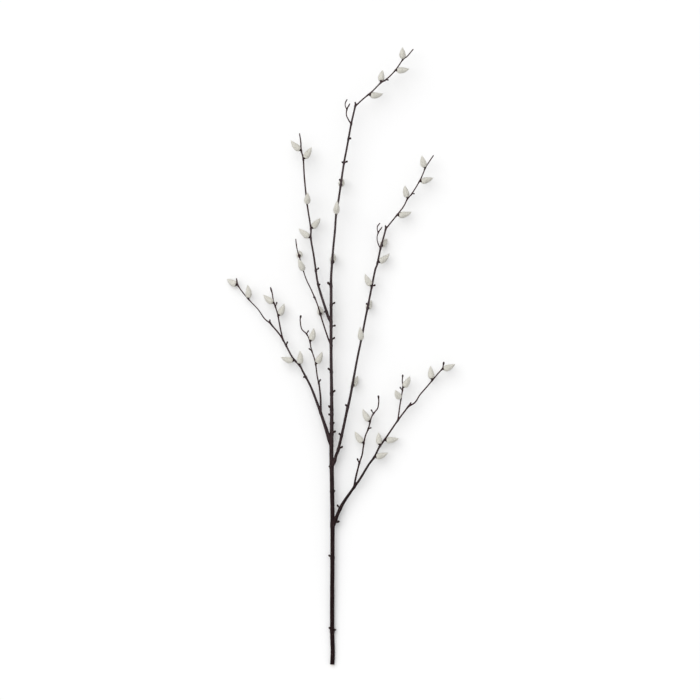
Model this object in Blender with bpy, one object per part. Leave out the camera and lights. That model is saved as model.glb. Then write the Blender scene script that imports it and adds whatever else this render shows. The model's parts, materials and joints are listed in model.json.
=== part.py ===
"""Pussy willow spray, cut and laid flat on a surface.

The stem, its side shoots, spurs and bud cups grew as one piece, so they are one solid, "wood".
Each of the 42 catkins is a solid of its own that sits in its bud cup.
Plans are in millimetres: x to the right, y from the cut end towards the tips, z above the surface.
The built model is in metres, +Z up, centred over its own plan.
"""

import math
from dataclasses import dataclass

import bmesh
import bpy
from mathutils import Vector

MM = 0.001

# Middle of the spray's outline, seen from above and measured from the cut end.
PLAN_CENTRE_X = 15.9
PLAN_CENTRE_Y = 576.0

# Wood.
CURVE_STEPS = 10
RING_STEP = 15.0
NODE_SWELL = 1.09
NODE_MERGE = 4.0
STEM_NODES = (217, 502, 583)
THICK_SHOOT = 3.3
ROOT_SHARE = 0.8
SPUR_TIP_SHARE = 0.44
SPUR_SIDES = 5
SHARP_EDGE = 50
WELD = 0.01
THICK_SHOOT_BEVEL = 2
THIN_SHOOT_BEVEL = 1

# Bud cups: the opened scale that each catkin sits in.
CUP_STANDOFF = 2.0
CUP_FOOT_RADIUS = 0.9
CUP_MOUTH_RADIUS = 2.4
CUP_SIDES = 6
SEAT_GAP = 0.3

# Catkins.
CATKIN_GIRTH = 11.4
CATKIN_SEGMENTS = 8
CATKIN_RINGS = 8
CATKIN_FOOT_POWER = 0.45
CATKIN_TIP_POWER = 0.94
CATKIN_STEPS = 24
TUFT_RELIEF = 0.045

# The surface that the spray lies on: what reaches below it is cut to a small flat.
CUTTER_SIZE = 2.0
CUTTER_DEPTH = 0.05

BARK_COLOUR = (0.045, 0.034, 0.034, 1.0)
BARK_ROUGHNESS = 0.6
DOWN_COLOUR = (0.60, 0.58, 0.53, 1.0)
DOWN_ROUGHNESS = 0.95


@dataclass(frozen=True)
class Shoot:
    """A length of wood: the shoot it leaves, how far up, and its route as (x, y, z, diameter)."""

    name: str
    parent: str
    leaves_at: float
    route: tuple


@dataclass(frozen=True)
class Spur:
    """A dormant bud or broken spur: its place up a shoot, its lean from +Y, its reach and width."""

    shoot: str
    at: float
    lean: float
    reach: float
    width: float = 3.4
    rise: float = 10.0


@dataclass(frozen=True)
class Catkin:
    """A catkin: its place up a shoot, then lean from +Y and rise from level, at foot and at tip."""

    shoot: str
    at: float
    lean: tuple
    rise: tuple
    length: float


SHOOTS = (
    Shoot("stem", "", 0, (
        (0, 0, 3.4, 8.2), (1, 24, 3.4, 8.1), (0, 60, 4.8, 8.1), (0, 128, 7.4, 8.1),
        (0.5, 215, 10.4, 8.1), (0.5, 281, 12.6, 8.2), (-0.5, 345, 14.8, 8.2),
        (-1.5, 399, 16.4, 7.9), (-1, 440, 17.4, 7.2), (-1, 504, 19.4, 6.3), (-2, 583, 21.4, 5.7),
        (-2, 667, 23.6, 5.6), (-2, 706, 24.6, 5.3), (-2, 724, 25.1, 4.7), (0, 755, 26.0, 4.5),
        (2, 780, 26.8, 4.2), (5, 810, 27.8, 4.1), (7.5, 843, 28.8, 4.0), (12, 870, 29.5, 3.9),
        (16.5, 901, 30.1, 3.9), (22, 938, 31.0, 3.8), (27.5, 967, 32.0, 3.7),
        (35.5, 1011, 34.0, 3.6), (43, 1044, 36.5, 3.4), (43, 1051, 37.0, 3.2))),
    Shoot("leader_tip", "stem", 1044, (
        (57, 1057, 38.0, 2.7), (75, 1072, 39.0, 2.6), (91, 1088, 40.0, 2.5), (101, 1094, 41.0, 2.5),
        (118, 1111, 42.5, 2.4), (132, 1131, 43.5, 2.3), (140, 1137, 44.0, 2.2),
        (151, 1150, 44.5, 2.1))),
    Shoot("leader_fork", "stem", 1011, (
        (31, 1018, 35.6, 2.3), (27, 1026, 36.6, 2.1), (26.5, 1033, 37.2, 2.1),
        (28, 1040, 37.6, 2.4), (31, 1045, 38.1, 2.7), (32.8, 1048.5, 38.4, 1.9))),
    Shoot("leader_tine", "leader_fork", 1038, (
        (24.6, 1044, 38.2, 1.6), (24.4, 1050, 38.8, 2.0), (26.4, 1054, 39.3, 2.5),
        (27.8, 1056.8, 39.6, 1.6))),
    Shoot("right_high", "stem", 372, (
        (4, 380, 15.9, 6.6), (7, 391, 16.5, 5.9), (12, 405, 17.2, 5.6), (21, 444, 19.4, 5.2),
        (28, 477, 21.3, 5.2), (34, 503, 22.7, 4.8), (46, 568, 24.0, 4.1), (54.5, 609, 23.8, 3.9),
        (62.5, 650, 23.2, 3.9), (70, 687, 22.2, 3.8), (80, 737, 20.2, 3.7), (84, 749, 19.7, 3.6),
        (91, 782, 18.9, 3.5), (94, 792, 19.2, 3.4), (100, 815, 20.6, 3.3),
        (99.5, 821, 21.0, 3.1))),
    Shoot("right_high_tip", "right_high", 815, (
        (112, 830, 22.2, 2.6), (129, 851, 24.2, 2.5), (135.6, 861, 25.2, 2.4), (141, 872, 26.2, 2.4),
        (149, 881, 27.2, 2.3), (163, 904, 29.2, 2.3), (170, 919, 30.4, 2.2), (175, 931, 31.4, 2.2),
        (189, 952, 33.0, 2.1))),
    Shoot("right_high_fork", "right_high", 779, (
        (86.5, 786, 20.4, 2.0), (84, 795, 21.8, 1.8), (84.4, 803, 22.8, 1.8),
        (87, 810, 23.6, 2.1), (90.6, 815, 24.2, 2.5), (93, 818.5, 24.6, 1.7))),
    Shoot("right_high_tine", "right_high_fork", 808, (
        (84.2, 814, 24.4, 1.6), (84.6, 820, 25.2, 2.0), (87.4, 823.5, 25.6, 2.5),
        (89.2, 825.8, 25.8, 1.6))),
    Shoot("left_high", "stem", 641, (
        (-7, 650, 23.6, 5.4), (-12, 665, 23.8, 4.9), (-22, 696, 23.6, 4.4), (-28, 720, 23.4, 3.9),
        (-34, 762, 23.4, 3.6), (-40, 798, 23.8, 3.4), (-40, 816, 24.2, 3.2), (-47, 863, 25.2, 3.0),
        (-52, 912, 26.6, 2.9), (-54, 945, 27.4, 2.8), (-57.8, 962, 28.0, 2.7),
        (-58.7, 978, 28.6, 2.6), (-61, 993, 29.2, 2.2))),
    Shoot("left_mid", "stem", 597, (
        (-8, 612, 21.9, 3.0), (-18, 642, 22.0, 2.7), (-28, 675, 22.6, 2.5), (-39, 701, 23.4, 2.3),
        (-50, 725, 24.4, 2.1), (-61, 762, 26.2, 2.0), (-65, 775, 26.8, 1.9), (-67, 786, 27.2, 2.2),
        (-68, 796, 27.6, 1.8))),
    Shoot("left_low", "stem", 411, (
        (-5, 420, 16.9, 7.6), (-10, 437, 16.7, 7.0), (-19, 464, 16.3, 5.6), (-29, 492, 16.3, 4.8),
        (-40, 520, 16.7, 4.1), (-55, 549, 17.3, 3.6), (-61, 560, 17.4, 3.5), (-75, 576, 17.4, 3.3),
        (-95, 613, 16.6, 3.0), (-115, 638, 15.7, 3.0), (-116.5, 645, 15.5, 2.7))),
    Shoot("left_low_tip", "left_low", 638, (
        (-127, 648, 15.4, 2.3), (-138, 664, 15.1, 2.1), (-153, 680, 14.8, 2.1),
        (-166, 695, 14.3, 2.1), (-176, 709, 13.9, 2.1), (-178, 716, 13.9, 2.8),
        (-179, 722.5, 14.0, 2.0))),
    Shoot("left_low_inner", "left_low", 471, (
        (-21.5, 487, 16.8, 3.9), (-22, 503, 17.8, 3.5), (-24.5, 524, 19.2, 3.1),
        (-28, 540, 20.0, 2.7), (-32, 568, 20.9, 2.4), (-39, 590, 21.2, 2.3),
        (-42, 606, 21.2, 2.2), (-48, 619, 21.0, 2.2), (-57, 628, 20.8, 2.2),
        (-59.8, 643, 20.7, 2.3), (-59.4, 650, 20.7, 3.4), (-58.6, 654.5, 20.7, 2.3))),
    Shoot("left_low_outer", "left_low", 607, (
        (-95, 620, 17.0, 2.8), (-99, 640, 17.8, 2.6), (-102, 656, 18.4, 2.4),
        (-107, 672, 18.8, 2.3), (-110, 681, 19.0, 2.2), (-112, 694, 19.2, 2.3),
        (-114, 701, 19.3, 3.3), (-115.2, 705.5, 19.3, 2.3))),
    Shoot("right_low", "stem", 259, (
        (6, 270, 12.3, 7.4), (9.5, 280, 12.8, 6.6), (19, 300, 13.9, 6.2), (33, 321, 15.2, 5.2),
        (51.5, 347, 16.6, 4.4), (68, 374, 18.0, 4.1), (79, 389, 18.7, 3.9), (88, 407, 19.2, 3.5),
        (100, 424, 19.6, 3.3), (124, 459, 20.0, 3.1), (143, 484, 20.2, 3.0),
        (147, 490, 20.2, 2.8))),
    Shoot("right_low_tip", "right_low", 483, (
        (155, 491, 20.1, 2.7), (164, 505, 20.2, 2.6), (177, 520, 20.4, 2.6), (187, 532, 20.6, 2.5),
        (198, 545, 21.0, 2.4), (206, 554, 21.3, 2.4), (208, 562, 21.5, 3.3),
        (209, 567, 21.7, 2.2))),
    Shoot("right_low_inner", "right_low", 332, (
        (44, 350, 16.8, 3.6), (51, 378, 18.9, 3.1), (56, 393, 19.6, 3.0), (58.5, 410, 20.2, 2.8),
        (62, 428, 20.7, 2.7), (68, 443, 21.0, 2.6), (73, 462, 21.4, 2.5), (78, 471, 21.6, 2.5),
        (85, 480, 21.8, 2.4), (87, 492, 22.0, 2.5), (86.8, 500, 22.1, 3.6),
        (86.2, 504.5, 22.1, 2.3))),
    Shoot("right_low_outer", "right_low", 457, (
        (124.5, 470, 20.6, 2.6), (127, 488, 21.3, 2.4), (130, 505, 21.9, 2.2),
        (132, 519, 22.2, 2.1), (131, 531, 22.5, 2.1), (131.6, 539.5, 22.7, 3.1),
        (132, 543.5, 22.7, 2.2))),
)

SPURS = (
    Spur("stem", 62, 60, 8.6), Spur("stem", 65, -55, 8.5), Spur("stem", 200, -55, 9.7),
    Spur("stem", 265, 76, 14.4, 4.0), Spur("stem", 324, 75, 6.4), Spur("stem", 370, -76, 6.1),
    Spur("stem", 432, 54, 10.2, 3.8), Spur("stem", 452, 80, 5.8), Spur("stem", 468, -86, 7.0, 3.6),
    Spur("stem", 477, -37, 10.8, 3.6), Spur("stem", 507, 45, 10.2), Spur("stem", 548, -43, 10.3),
    Spur("stem", 607, 53, 9.6), Spur("stem", 633, 78, 9.3), Spur("stem", 673, 57, 9.7),
    Spur("stem", 708, -42, 11.0, 4.2), Spur("stem", 752, 77, 4.8, 3.0), Spur("stem", 905, -59, 5.4),
    Spur("stem", 940, -95, 5.1), Spur("stem", 938, 62, 8.4), Spur("stem", 983, 72, 5.7, 3.8),
    Spur("leader_tip", 1093, 90, 6.2, 2.3),
    Spur("right_high", 403, 57, 10.8), Spur("right_high", 428, -44, 7.9),
    Spur("right_high", 481, -34, 8.2), Spur("right_high", 674, -69, 5.0),
    Spur("right_high", 708, 70, 7.8),
    Spur("right_high_tip", 881, 90, 5.5, 2.3),
    Spur("left_high", 660, -84, 5.1), Spur("left_high", 711, 81, 4.4, 3.0),
    Spur("left_high", 737, 46, 8.7, 3.0),
    Spur("left_mid", 686, -59, 4.0, 2.8),
    Spur("left_low", 538, -88, 5.4), Spur("left_low", 597, 19, 8.8, 3.0),
    Spur("left_low_inner", 527, 25, 8.6, 2.8), Spur("left_low_inner", 587, -50, 8.2, 2.5),
    Spur("left_low_inner", 619, 32, 8.2, 2.5),
    Spur("left_low_outer", 670, 20, 9.8, 2.6),
    Spur("right_low", 292, -39, 10.1),
    Spur("right_low_inner", 377, -24, 10.8, 3.0), Spur("right_low_inner", 441, 64, 7.0, 2.7),
    Spur("right_low_inner", 470, -33, 9.7, 2.6),
    Spur("right_low_outer", 513, -36, 8.8, 2.5),
)

CATKINS = (
    Catkin("leader_tip", 1131, (-6, 4), (32, 30), 22.0),
    Catkin("leader_tip", 1111, (92, 74), (12, 8), 23.0),
    Catkin("leader_tip", 1088, (2, 18), (-22, -24), 22.5),
    Catkin("leader_tip", 1066, (102, 66), (-14, -4), 24.5),
    Catkin("stem", 896, (20, 8), (-68, -34), 22.5),
    Catkin("stem", 844, (4, 4), (62, -2), 26.5),
    Catkin("stem", 754, (18, 8), (-68, -34), 23.0),
    Catkin("right_high_tip", 928, (-19, -7), (20, 18), 22.5),
    Catkin("right_high_tip", 904, (82, 66), (-8, -12), 23.5),
    Catkin("right_high_tip", 872, (-18, -4), (18, 20), 22.5),
    Catkin("right_high_tip", 841, (90, 60), (-8, -6), 25.0),
    Catkin("right_high", 783, (46, 26), (-56, -36), 23.0),
    Catkin("right_high", 752, (64, 36), (-10, -6), 24.5),
    Catkin("right_high", 707, (-36, -16), (12, 10), 23.0),
    Catkin("right_high", 666, (30, 18), (-63, -28), 23.0),
    Catkin("right_high", 608, (-6, -4), (62, -4), 27.0),
    Catkin("right_high", 521, (36, 20), (-58, -12), 25.0),
    Catkin("left_high", 961, (-56, -30), (10, 4), 24.0),
    Catkin("left_high", 945, (40, 24), (-2, 0), 24.0),
    Catkin("left_high", 863, (6, 2), (64, 14), 24.0),
    Catkin("left_high", 815, (46, 32), (-12, -8), 23.5),
    Catkin("left_high", 798, (-58, -42), (4, 2), 24.5),
    Catkin("left_mid", 764, (6, -10), (-74, -52), 22.0),
    Catkin("left_mid", 738, (-22, -24), (60, 0), 26.0),
    Catkin("left_mid", 655, (-4, -18), (-62, -32), 22.0),
    Catkin("left_low_tip", 710, (-68, -50), (-31, -32), 24.0),
    Catkin("left_low_tip", 684, (3, -12), (16, 8), 24.0),
    Catkin("left_low_outer", 676, (-60, -40), (10, 8), 22.5),
    Catkin("left_low_outer", 652, (34, 14), (-8, -6), 23.0),
    Catkin("left_low", 569, (-88, -60), (2, 6), 23.0),
    Catkin("left_low", 560, (8, -8), (16, 6), 24.0),
    Catkin("left_low_inner", 604, (26, 0), (-8, 4), 23.5),
    Catkin("left_low_inner", 562, (36, 14), (4, 6), 23.0),
    Catkin("right_low_tip", 553, (80, 52), (6, 2), 23.0),
    Catkin("right_low_tip", 532, (-12, 2), (-4, 2), 23.5),
    Catkin("right_low_outer", 518, (42, 15), (12, 6), 23.0),
    Catkin("right_low_outer", 497, (-42, -18), (36, 34), 21.0),
    Catkin("right_low_inner", 454, (-38, -16), (4, 0), 24.5),
    Catkin("right_low_inner", 414, (-46, -24), (2, -4), 24.5),
    Catkin("right_low", 409, (-10, 2), (-16, -12), 22.5),
    Catkin("right_low", 420, (90, 74), (-2, 2), 23.5),
    Catkin("right_low", 388, (78, 62), (6, 4), 23.0),
)


def in_model(x, y, z):
    """Turn a plan position in millimetres into a position in the model, in metres."""
    return Vector(((x - PLAN_CENTRE_X) * MM, (y - PLAN_CENTRE_Y) * MM, z * MM))


def heading(lean, rise):
    """Return the unit vector that leans from +Y towards +X and rises from level, in degrees."""
    flat = math.cos(math.radians(rise))
    lean = math.radians(lean)
    return Vector((math.sin(lean) * flat, math.cos(lean) * flat, math.sin(math.radians(rise))))


def smooth_route(points):
    """Run a Catmull-Rom curve through the points and return it as a fine polyline."""
    ends = [2 * points[0] - points[1], *points, 2 * points[-1] - points[-2]]
    curve = []
    for before, start, end, after in zip(ends, ends[1:], ends[2:], ends[3:]):
        for step in range(CURVE_STEPS):
            t = step / CURVE_STEPS
            curve.append(0.5 * (
                2 * start + (end - before) * t
                + (2 * before - 5 * start + 4 * end - after) * t ** 2
                + (3 * start - before - 3 * end + after) * t ** 3))
    curve.append(points[-1])
    return curve


def along(curve, y):
    """Return the (x, y, z, diameter) at a distance y up a curve that only climbs in y."""
    for start, end in zip(curve, curve[1:]):
        if start.y < end.y and y <= end.y:
            share = (y - start.y) / (end.y - start.y)
            return start.lerp(end, min(max(share, 0.0), 1.0))
    return curve[-1].copy()


def grow_curves():
    """Return each shoot's fine curve by name; a side shoot starts inside the one it leaves."""
    curves = {}
    for shoot in SHOOTS:
        points = [Vector(point) for point in shoot.route]
        if shoot.parent:
            foot = along(curves[shoot.parent], shoot.leaves_at)
            foot.w = min(points[0].w, foot.w * ROOT_SHARE)
            points.insert(0, foot)
        curves[shoot.name] = smooth_route(points)
    return curves


def ring_places(shoot, curve):
    """Return where a shoot's rings go: its two ends, each node on it, and steps between them."""
    nodes = {item.at for item in (*SPURS, *CATKINS) if item.shoot == shoot.name}
    nodes |= {child.leaves_at for child in SHOOTS if child.parent == shoot.name}
    if not shoot.parent:
        nodes |= set(STEM_NODES)
    low = curve[0].y
    high = curve[-1].y
    kept = [low]
    for node in sorted(nodes):
        if node - kept[-1] >= NODE_MERGE and high - node >= NODE_MERGE:
            kept.append(node)
    kept.append(high)
    places = [(low, False)]
    for start, end in zip(kept, kept[1:]):
        count = max(1, math.ceil((end - start) / RING_STEP))
        for step in range(1, count + 1):
            places.append((start + (end - start) * step / count, step == count and end != high))
    return places


def plain_mesh_object(name, mesh, collection):
    """Make an object for a mesh and put it in a collection."""
    made = bpy.data.objects.new(name, mesh)
    collection.objects.link(made)
    return made


def tube(name, rings, bevel_resolution, collection):
    """Make a closed tube from (centre in metres, radius in millimetres) rings."""
    curve = bpy.data.curves.new(name, "CURVE")
    curve.dimensions = "3D"
    curve.bevel_depth = MM
    curve.bevel_resolution = bevel_resolution
    curve.use_fill_caps = True
    spline = curve.splines.new("POLY")
    spline.points.add(len(rings) - 1)
    for point, (centre, radius) in zip(spline.points, rings):
        point.co = (*centre, 1.0)
        point.radius = radius
    guide = bpy.data.objects.new(name, curve)
    collection.objects.link(guide)
    bpy.context.view_layer.update()
    evaluated = guide.evaluated_get(bpy.context.evaluated_depsgraph_get())
    mesh = bpy.data.meshes.new_from_object(evaluated)
    bm = bmesh.new()
    bm.from_mesh(mesh)
    bmesh.ops.remove_doubles(bm, verts=bm.verts, dist=WELD * MM)
    bm.to_mesh(mesh)
    bm.free()
    made = plain_mesh_object(name + "_tube", mesh, collection)
    made.matrix_world = guide.matrix_world
    bpy.data.objects.remove(guide)
    bpy.data.curves.remove(curve)
    return made


def cone(name, foot, direction, length, foot_radius, end_radius, sides, collection):
    """Make a closed cone from a foot in metres along a direction; its sizes are in millimetres."""
    bm = bmesh.new()
    bmesh.ops.create_cone(
        bm, cap_ends=True, segments=sides, depth=length * MM,
        radius1=foot_radius * MM, radius2=end_radius * MM)
    bmesh.ops.translate(bm, verts=bm.verts, vec=(0, 0, length * MM / 2))
    turn = direction.to_track_quat("Z", "Y").to_matrix()
    bmesh.ops.rotate(bm, verts=bm.verts, matrix=turn)
    bmesh.ops.translate(bm, verts=bm.verts, vec=foot)
    mesh = bpy.data.meshes.new(name)
    bm.to_mesh(mesh)
    bm.free()
    return plain_mesh_object(name, mesh, collection)


def grow_shoot(shoot, curve, collection):
    """Make one shoot's tube, a little thicker at its nodes."""
    rings = []
    for y, is_node in ring_places(shoot, curve):
        place = along(curve, y)
        swell = NODE_SWELL if is_node else 1.0
        rings.append((in_model(*place.xyz), place.w / 2 * swell))
    thick = max(point[3] for point in shoot.route) > THICK_SHOOT
    bevel = THICK_SHOOT_BEVEL if thick else THIN_SHOOT_BEVEL
    return tube(shoot.name, rings, bevel, collection)


def grow_spur(number, spur, curve, collection):
    """Make one spur, rooted on the middle line of its shoot."""
    foot = in_model(*along(curve, spur.at).xyz)
    return cone(
        f"spur_{number}", foot, heading(spur.lean, spur.rise), spur.reach,
        spur.width / 2, spur.width * SPUR_TIP_SHARE, SPUR_SIDES, collection)


def cup_length(catkin, curve):
    """Return how far a bud cup's mouth is from the middle line of its shoot."""
    return along(curve, catkin.at).w / 2 + CUP_STANDOFF


def grow_cup(number, catkin, curve, collection):
    """Make the bud cup under one catkin, rooted on the middle line of its shoot."""
    foot = in_model(*along(curve, catkin.at).xyz)
    direction = heading(catkin.lean[0], catkin.rise[0])
    return cone(
        f"cup_{number}", foot, direction, cup_length(catkin, curve),
        CUP_FOOT_RADIUS, CUP_MOUTH_RADIUS, CUP_SIDES, collection)


def catkin_line(catkin, start):
    """Return the bent middle line of a catkin, one (place, direction) for each fine step."""
    place = start.copy()
    line = []
    for step in range(CATKIN_STEPS + 1):
        share = step / CATKIN_STEPS
        lean = catkin.lean[0] + (catkin.lean[1] - catkin.lean[0]) * share
        rise = catkin.rise[0] + (catkin.rise[1] - catkin.rise[0]) * share
        direction = heading(lean, rise)
        line.append((place.copy(), direction))
        place += direction * catkin.length * MM / CATKIN_STEPS
    return line


def catkin_radius(share):
    """Return a catkin's radius in millimetres at a share of its length: plump below, slim above."""
    widest = CATKIN_FOOT_POWER / (CATKIN_FOOT_POWER + CATKIN_TIP_POWER)
    foot = (share / widest) ** CATKIN_FOOT_POWER
    tip = ((1 - share) / (1 - widest)) ** CATKIN_TIP_POWER
    return CATKIN_GIRTH / 2 * foot * tip


def grow_catkin(number, catkin, curve, collection):
    """Shape a sphere into one catkin: taper, bend, and tufts of down in low relief."""
    name = f"catkin_{number:02d}"
    foot = in_model(*along(curve, catkin.at).xyz)
    outwards = heading(catkin.lean[0], catkin.rise[0])
    seat = foot + outwards * (cup_length(catkin, curve) + SEAT_GAP) * MM
    line = catkin_line(catkin, seat)
    bm = bmesh.new()
    bmesh.ops.create_uvsphere(
        bm, u_segments=CATKIN_SEGMENTS, v_segments=CATKIN_RINGS, radius=1.0)
    for vertex in bm.verts:
        polar = math.acos(max(-1.0, min(1.0, -vertex.co.z)))
        share = (1 - math.cos(polar)) / 2
        around = math.atan2(vertex.co.y, vertex.co.x)
        ring = round(polar / math.pi * CATKIN_RINGS)
        tuft = 1 + TUFT_RELIEF * math.cos(CATKIN_SEGMENTS / 2 * around + math.pi * ring)
        radius = catkin_radius(share) * tuft if 0 < ring < CATKIN_RINGS else 0.0
        place, direction = line[round(share * CATKIN_STEPS)]
        across = Vector((math.cos(around), math.sin(around), 0)) * radius * MM
        vertex.co = place + direction.to_track_quat("Z", "Y") @ across - seat
    mesh = bpy.data.meshes.new(name)
    bm.to_mesh(mesh)
    bm.free()
    mesh.shade_smooth()
    made = plain_mesh_object(name, mesh, collection)
    made.location = seat
    return made


def union_wood(pieces):
    """Join the tubes, spurs and cups in one solid and remove the pieces it is made from."""
    stem = bpy.data.objects["stem_tube"]
    pieces.objects.unlink(stem)
    stem.name = "wood"
    stem.data.name = "wood"
    bpy.context.scene.collection.objects.link(stem)
    union = stem.modifiers.new("grown_together", "BOOLEAN")
    union.operation = "UNION"
    union.operand_type = "COLLECTION"
    union.collection = pieces
    union.solver = "EXACT"
    bpy.context.view_layer.update()
    evaluated = stem.evaluated_get(bpy.context.evaluated_depsgraph_get())
    joined = bpy.data.meshes.new_from_object(evaluated)
    stem.modifiers.clear()
    stem.data = joined
    for piece in list(pieces.objects):
        bpy.data.objects.remove(piece)
    bpy.data.collections.remove(pieces)
    return stem


def surface_cutter():
    """Make the block below the surface that cuts the resting points flat."""
    bpy.ops.mesh.primitive_cube_add(size=CUTTER_SIZE, location=(0, 0, -CUTTER_DEPTH / 2))
    block = bpy.context.object
    block.name = "surface_block"
    for vertex in block.data.vertices:
        vertex.co.z *= CUTTER_DEPTH / CUTTER_SIZE
    cutters = bpy.data.collections.new("cutters")
    bpy.context.scene.collection.children.link(cutters)
    for holder in list(block.users_collection):
        holder.objects.unlink(block)
    cutters.objects.link(block)
    block.hide_render = True
    block.display_type = "WIRE"
    return block


def rest_on_surface(made, block):
    """Cut what reaches below the surface from one piece."""
    cut = made.modifiers.new("resting_flat", "BOOLEAN")
    cut.operation = "DIFFERENCE"
    cut.object = block
    cut.solver = "EXACT"


def material(name, colour, roughness):
    """Make a plain Principled material."""
    made = bpy.data.materials.new(name)
    made.use_nodes = True
    shader = made.node_tree.nodes["Principled BSDF"]
    shader.inputs["Base Color"].default_value = colour
    shader.inputs["Roughness"].default_value = roughness
    shader.inputs["Metallic"].default_value = 0.0
    made.diffuse_color = colour
    return made


def lowest(made):
    """Return the lowest z of a piece, in metres."""
    return min((made.matrix_world @ vertex.co).z for vertex in made.data.vertices)


def main():
    """Build the spray."""
    for leftover in list(bpy.data.objects):
        bpy.data.objects.remove(leftover)
    spray = bpy.data.collections.new("willow_twig")
    bpy.context.scene.collection.children.link(spray)
    pieces = bpy.data.collections.new("pieces_of_wood")
    bpy.context.scene.collection.children.link(pieces)

    curves = grow_curves()
    for shoot in SHOOTS:
        grow_shoot(shoot, curves[shoot.name], pieces)
    for number, spur in enumerate(SPURS, 1):
        grow_spur(number, spur, curves[spur.shoot], pieces)
    for number, catkin in enumerate(CATKINS, 1):
        grow_cup(number, catkin, curves[catkin.shoot], pieces)
    wood = union_wood(pieces)
    bpy.context.scene.collection.objects.unlink(wood)
    spray.objects.link(wood)
    wood.data.shade_smooth()
    wood.data.set_sharp_from_angle(angle=math.radians(SHARP_EDGE))
    wood.data.materials.clear()
    wood.data.materials.append(material("bark", BARK_COLOUR, BARK_ROUGHNESS))

    block = surface_cutter()
    rest_on_surface(wood, block)
    down = material("catkin_down", DOWN_COLOUR, DOWN_ROUGHNESS)
    for number, catkin in enumerate(CATKINS, 1):
        made = grow_catkin(number, catkin, curves[catkin.shoot], spray)
        made.data.materials.append(down)
        bpy.context.view_layer.update()
        if lowest(made) < 0:
            rest_on_surface(made, block)
        made.parent = wood


main()
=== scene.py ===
"""Looks of a cut pussy willow spray: bark, buds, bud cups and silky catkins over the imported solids.

The spray lies on a pale floor and is seen from above. Its plan is in millimetres: x to the right,
y from the cut end towards the tips, z above the floor. Meshes are in metres, in the frame of the
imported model, whose origin lies on the floor under the middle of the spray.
"""

import json
import logging
import math
from collections.abc import Callable, Iterable, Sequence
from dataclasses import dataclass, field
from enum import Enum

import bmesh
import bpy
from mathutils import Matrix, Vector

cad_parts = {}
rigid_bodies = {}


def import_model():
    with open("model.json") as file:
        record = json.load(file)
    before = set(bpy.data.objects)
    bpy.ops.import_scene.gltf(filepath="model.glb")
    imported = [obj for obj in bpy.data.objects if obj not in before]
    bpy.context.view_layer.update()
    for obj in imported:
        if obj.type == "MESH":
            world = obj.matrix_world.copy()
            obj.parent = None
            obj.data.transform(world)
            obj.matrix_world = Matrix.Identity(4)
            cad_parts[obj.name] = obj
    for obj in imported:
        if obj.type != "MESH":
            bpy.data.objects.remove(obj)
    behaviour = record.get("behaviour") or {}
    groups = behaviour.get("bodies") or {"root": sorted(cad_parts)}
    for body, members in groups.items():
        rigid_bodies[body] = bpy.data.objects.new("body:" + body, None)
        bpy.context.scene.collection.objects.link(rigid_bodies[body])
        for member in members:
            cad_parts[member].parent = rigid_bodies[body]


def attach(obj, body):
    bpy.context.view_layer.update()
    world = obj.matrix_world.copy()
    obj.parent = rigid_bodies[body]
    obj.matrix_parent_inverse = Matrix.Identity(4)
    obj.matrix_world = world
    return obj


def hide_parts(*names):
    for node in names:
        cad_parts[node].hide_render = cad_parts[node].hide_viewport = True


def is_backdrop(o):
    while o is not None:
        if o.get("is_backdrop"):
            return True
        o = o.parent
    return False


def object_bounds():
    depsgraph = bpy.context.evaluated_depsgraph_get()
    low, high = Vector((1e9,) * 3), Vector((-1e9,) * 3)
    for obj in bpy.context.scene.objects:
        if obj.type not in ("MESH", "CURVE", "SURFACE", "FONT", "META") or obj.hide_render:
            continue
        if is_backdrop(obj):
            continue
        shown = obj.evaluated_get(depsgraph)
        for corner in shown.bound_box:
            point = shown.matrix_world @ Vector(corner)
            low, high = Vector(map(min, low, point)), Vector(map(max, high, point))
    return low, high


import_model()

LOG = logging.getLogger("willow_twig")

MM = 0.001
BODY = "root"
WELD = 0.01 * MM
FLOOR_CLEARANCE = 0.02 * MM

# Attributes of points: a shoot's radius, which way a catkin's tip is, and where a point of the
# bark lies on its own shoot, as across, up the shoot, across.
RADIUS = "wood_radius"
TOWARDS_TIP = "towards_tip"
BARK_PLACE = "bark_place"

# Most values of a noise lie between these.
NOISE_MIDDLE = (0.32, 0.68)

# Middle of the spray's outline, seen from above and measured from the cut end, in millimetres.
PLAN_CENTRE_X = 15.9
PLAN_CENTRE_Y = 576.0


class Slot(Enum):
    """The record's material slots."""

    BARK = "bark"
    DOWN = "catkin_down"


@dataclass(frozen=True)
class Shoot:
    """A length of wood: the shoot it leaves, how far up, and its route as (x, y, z, diameter)."""

    name: str
    parent: str
    leaves_at: float
    route: tuple[tuple[float, float, float, float], ...]


@dataclass(frozen=True)
class Spur:
    """A dormant bud: its place up a shoot, its lean from +Y, its reach and its width."""

    shoot: str
    at: float
    lean: float
    reach: float
    width: float = 3.4
    rise: float = 10.0

    @property
    def outwards(self) -> Vector:
        """The way it points."""
        return heading(self.lean, self.rise)


@dataclass(frozen=True)
class Catkin:
    """A catkin: its place up a shoot, then lean from +Y and rise from level, at foot and at tip."""

    shoot: str
    at: float
    lean: tuple[float, float]
    rise: tuple[float, float]
    length: float

    def way(self, share: float) -> Vector:
        """Return the way it points at a share of its length."""
        return heading(*(foot + (tip - foot) * share for foot, tip in (self.lean, self.rise)))

    @property
    def outwards(self) -> Vector:
        """The way its foot points."""
        return self.way(0.0)


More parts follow.
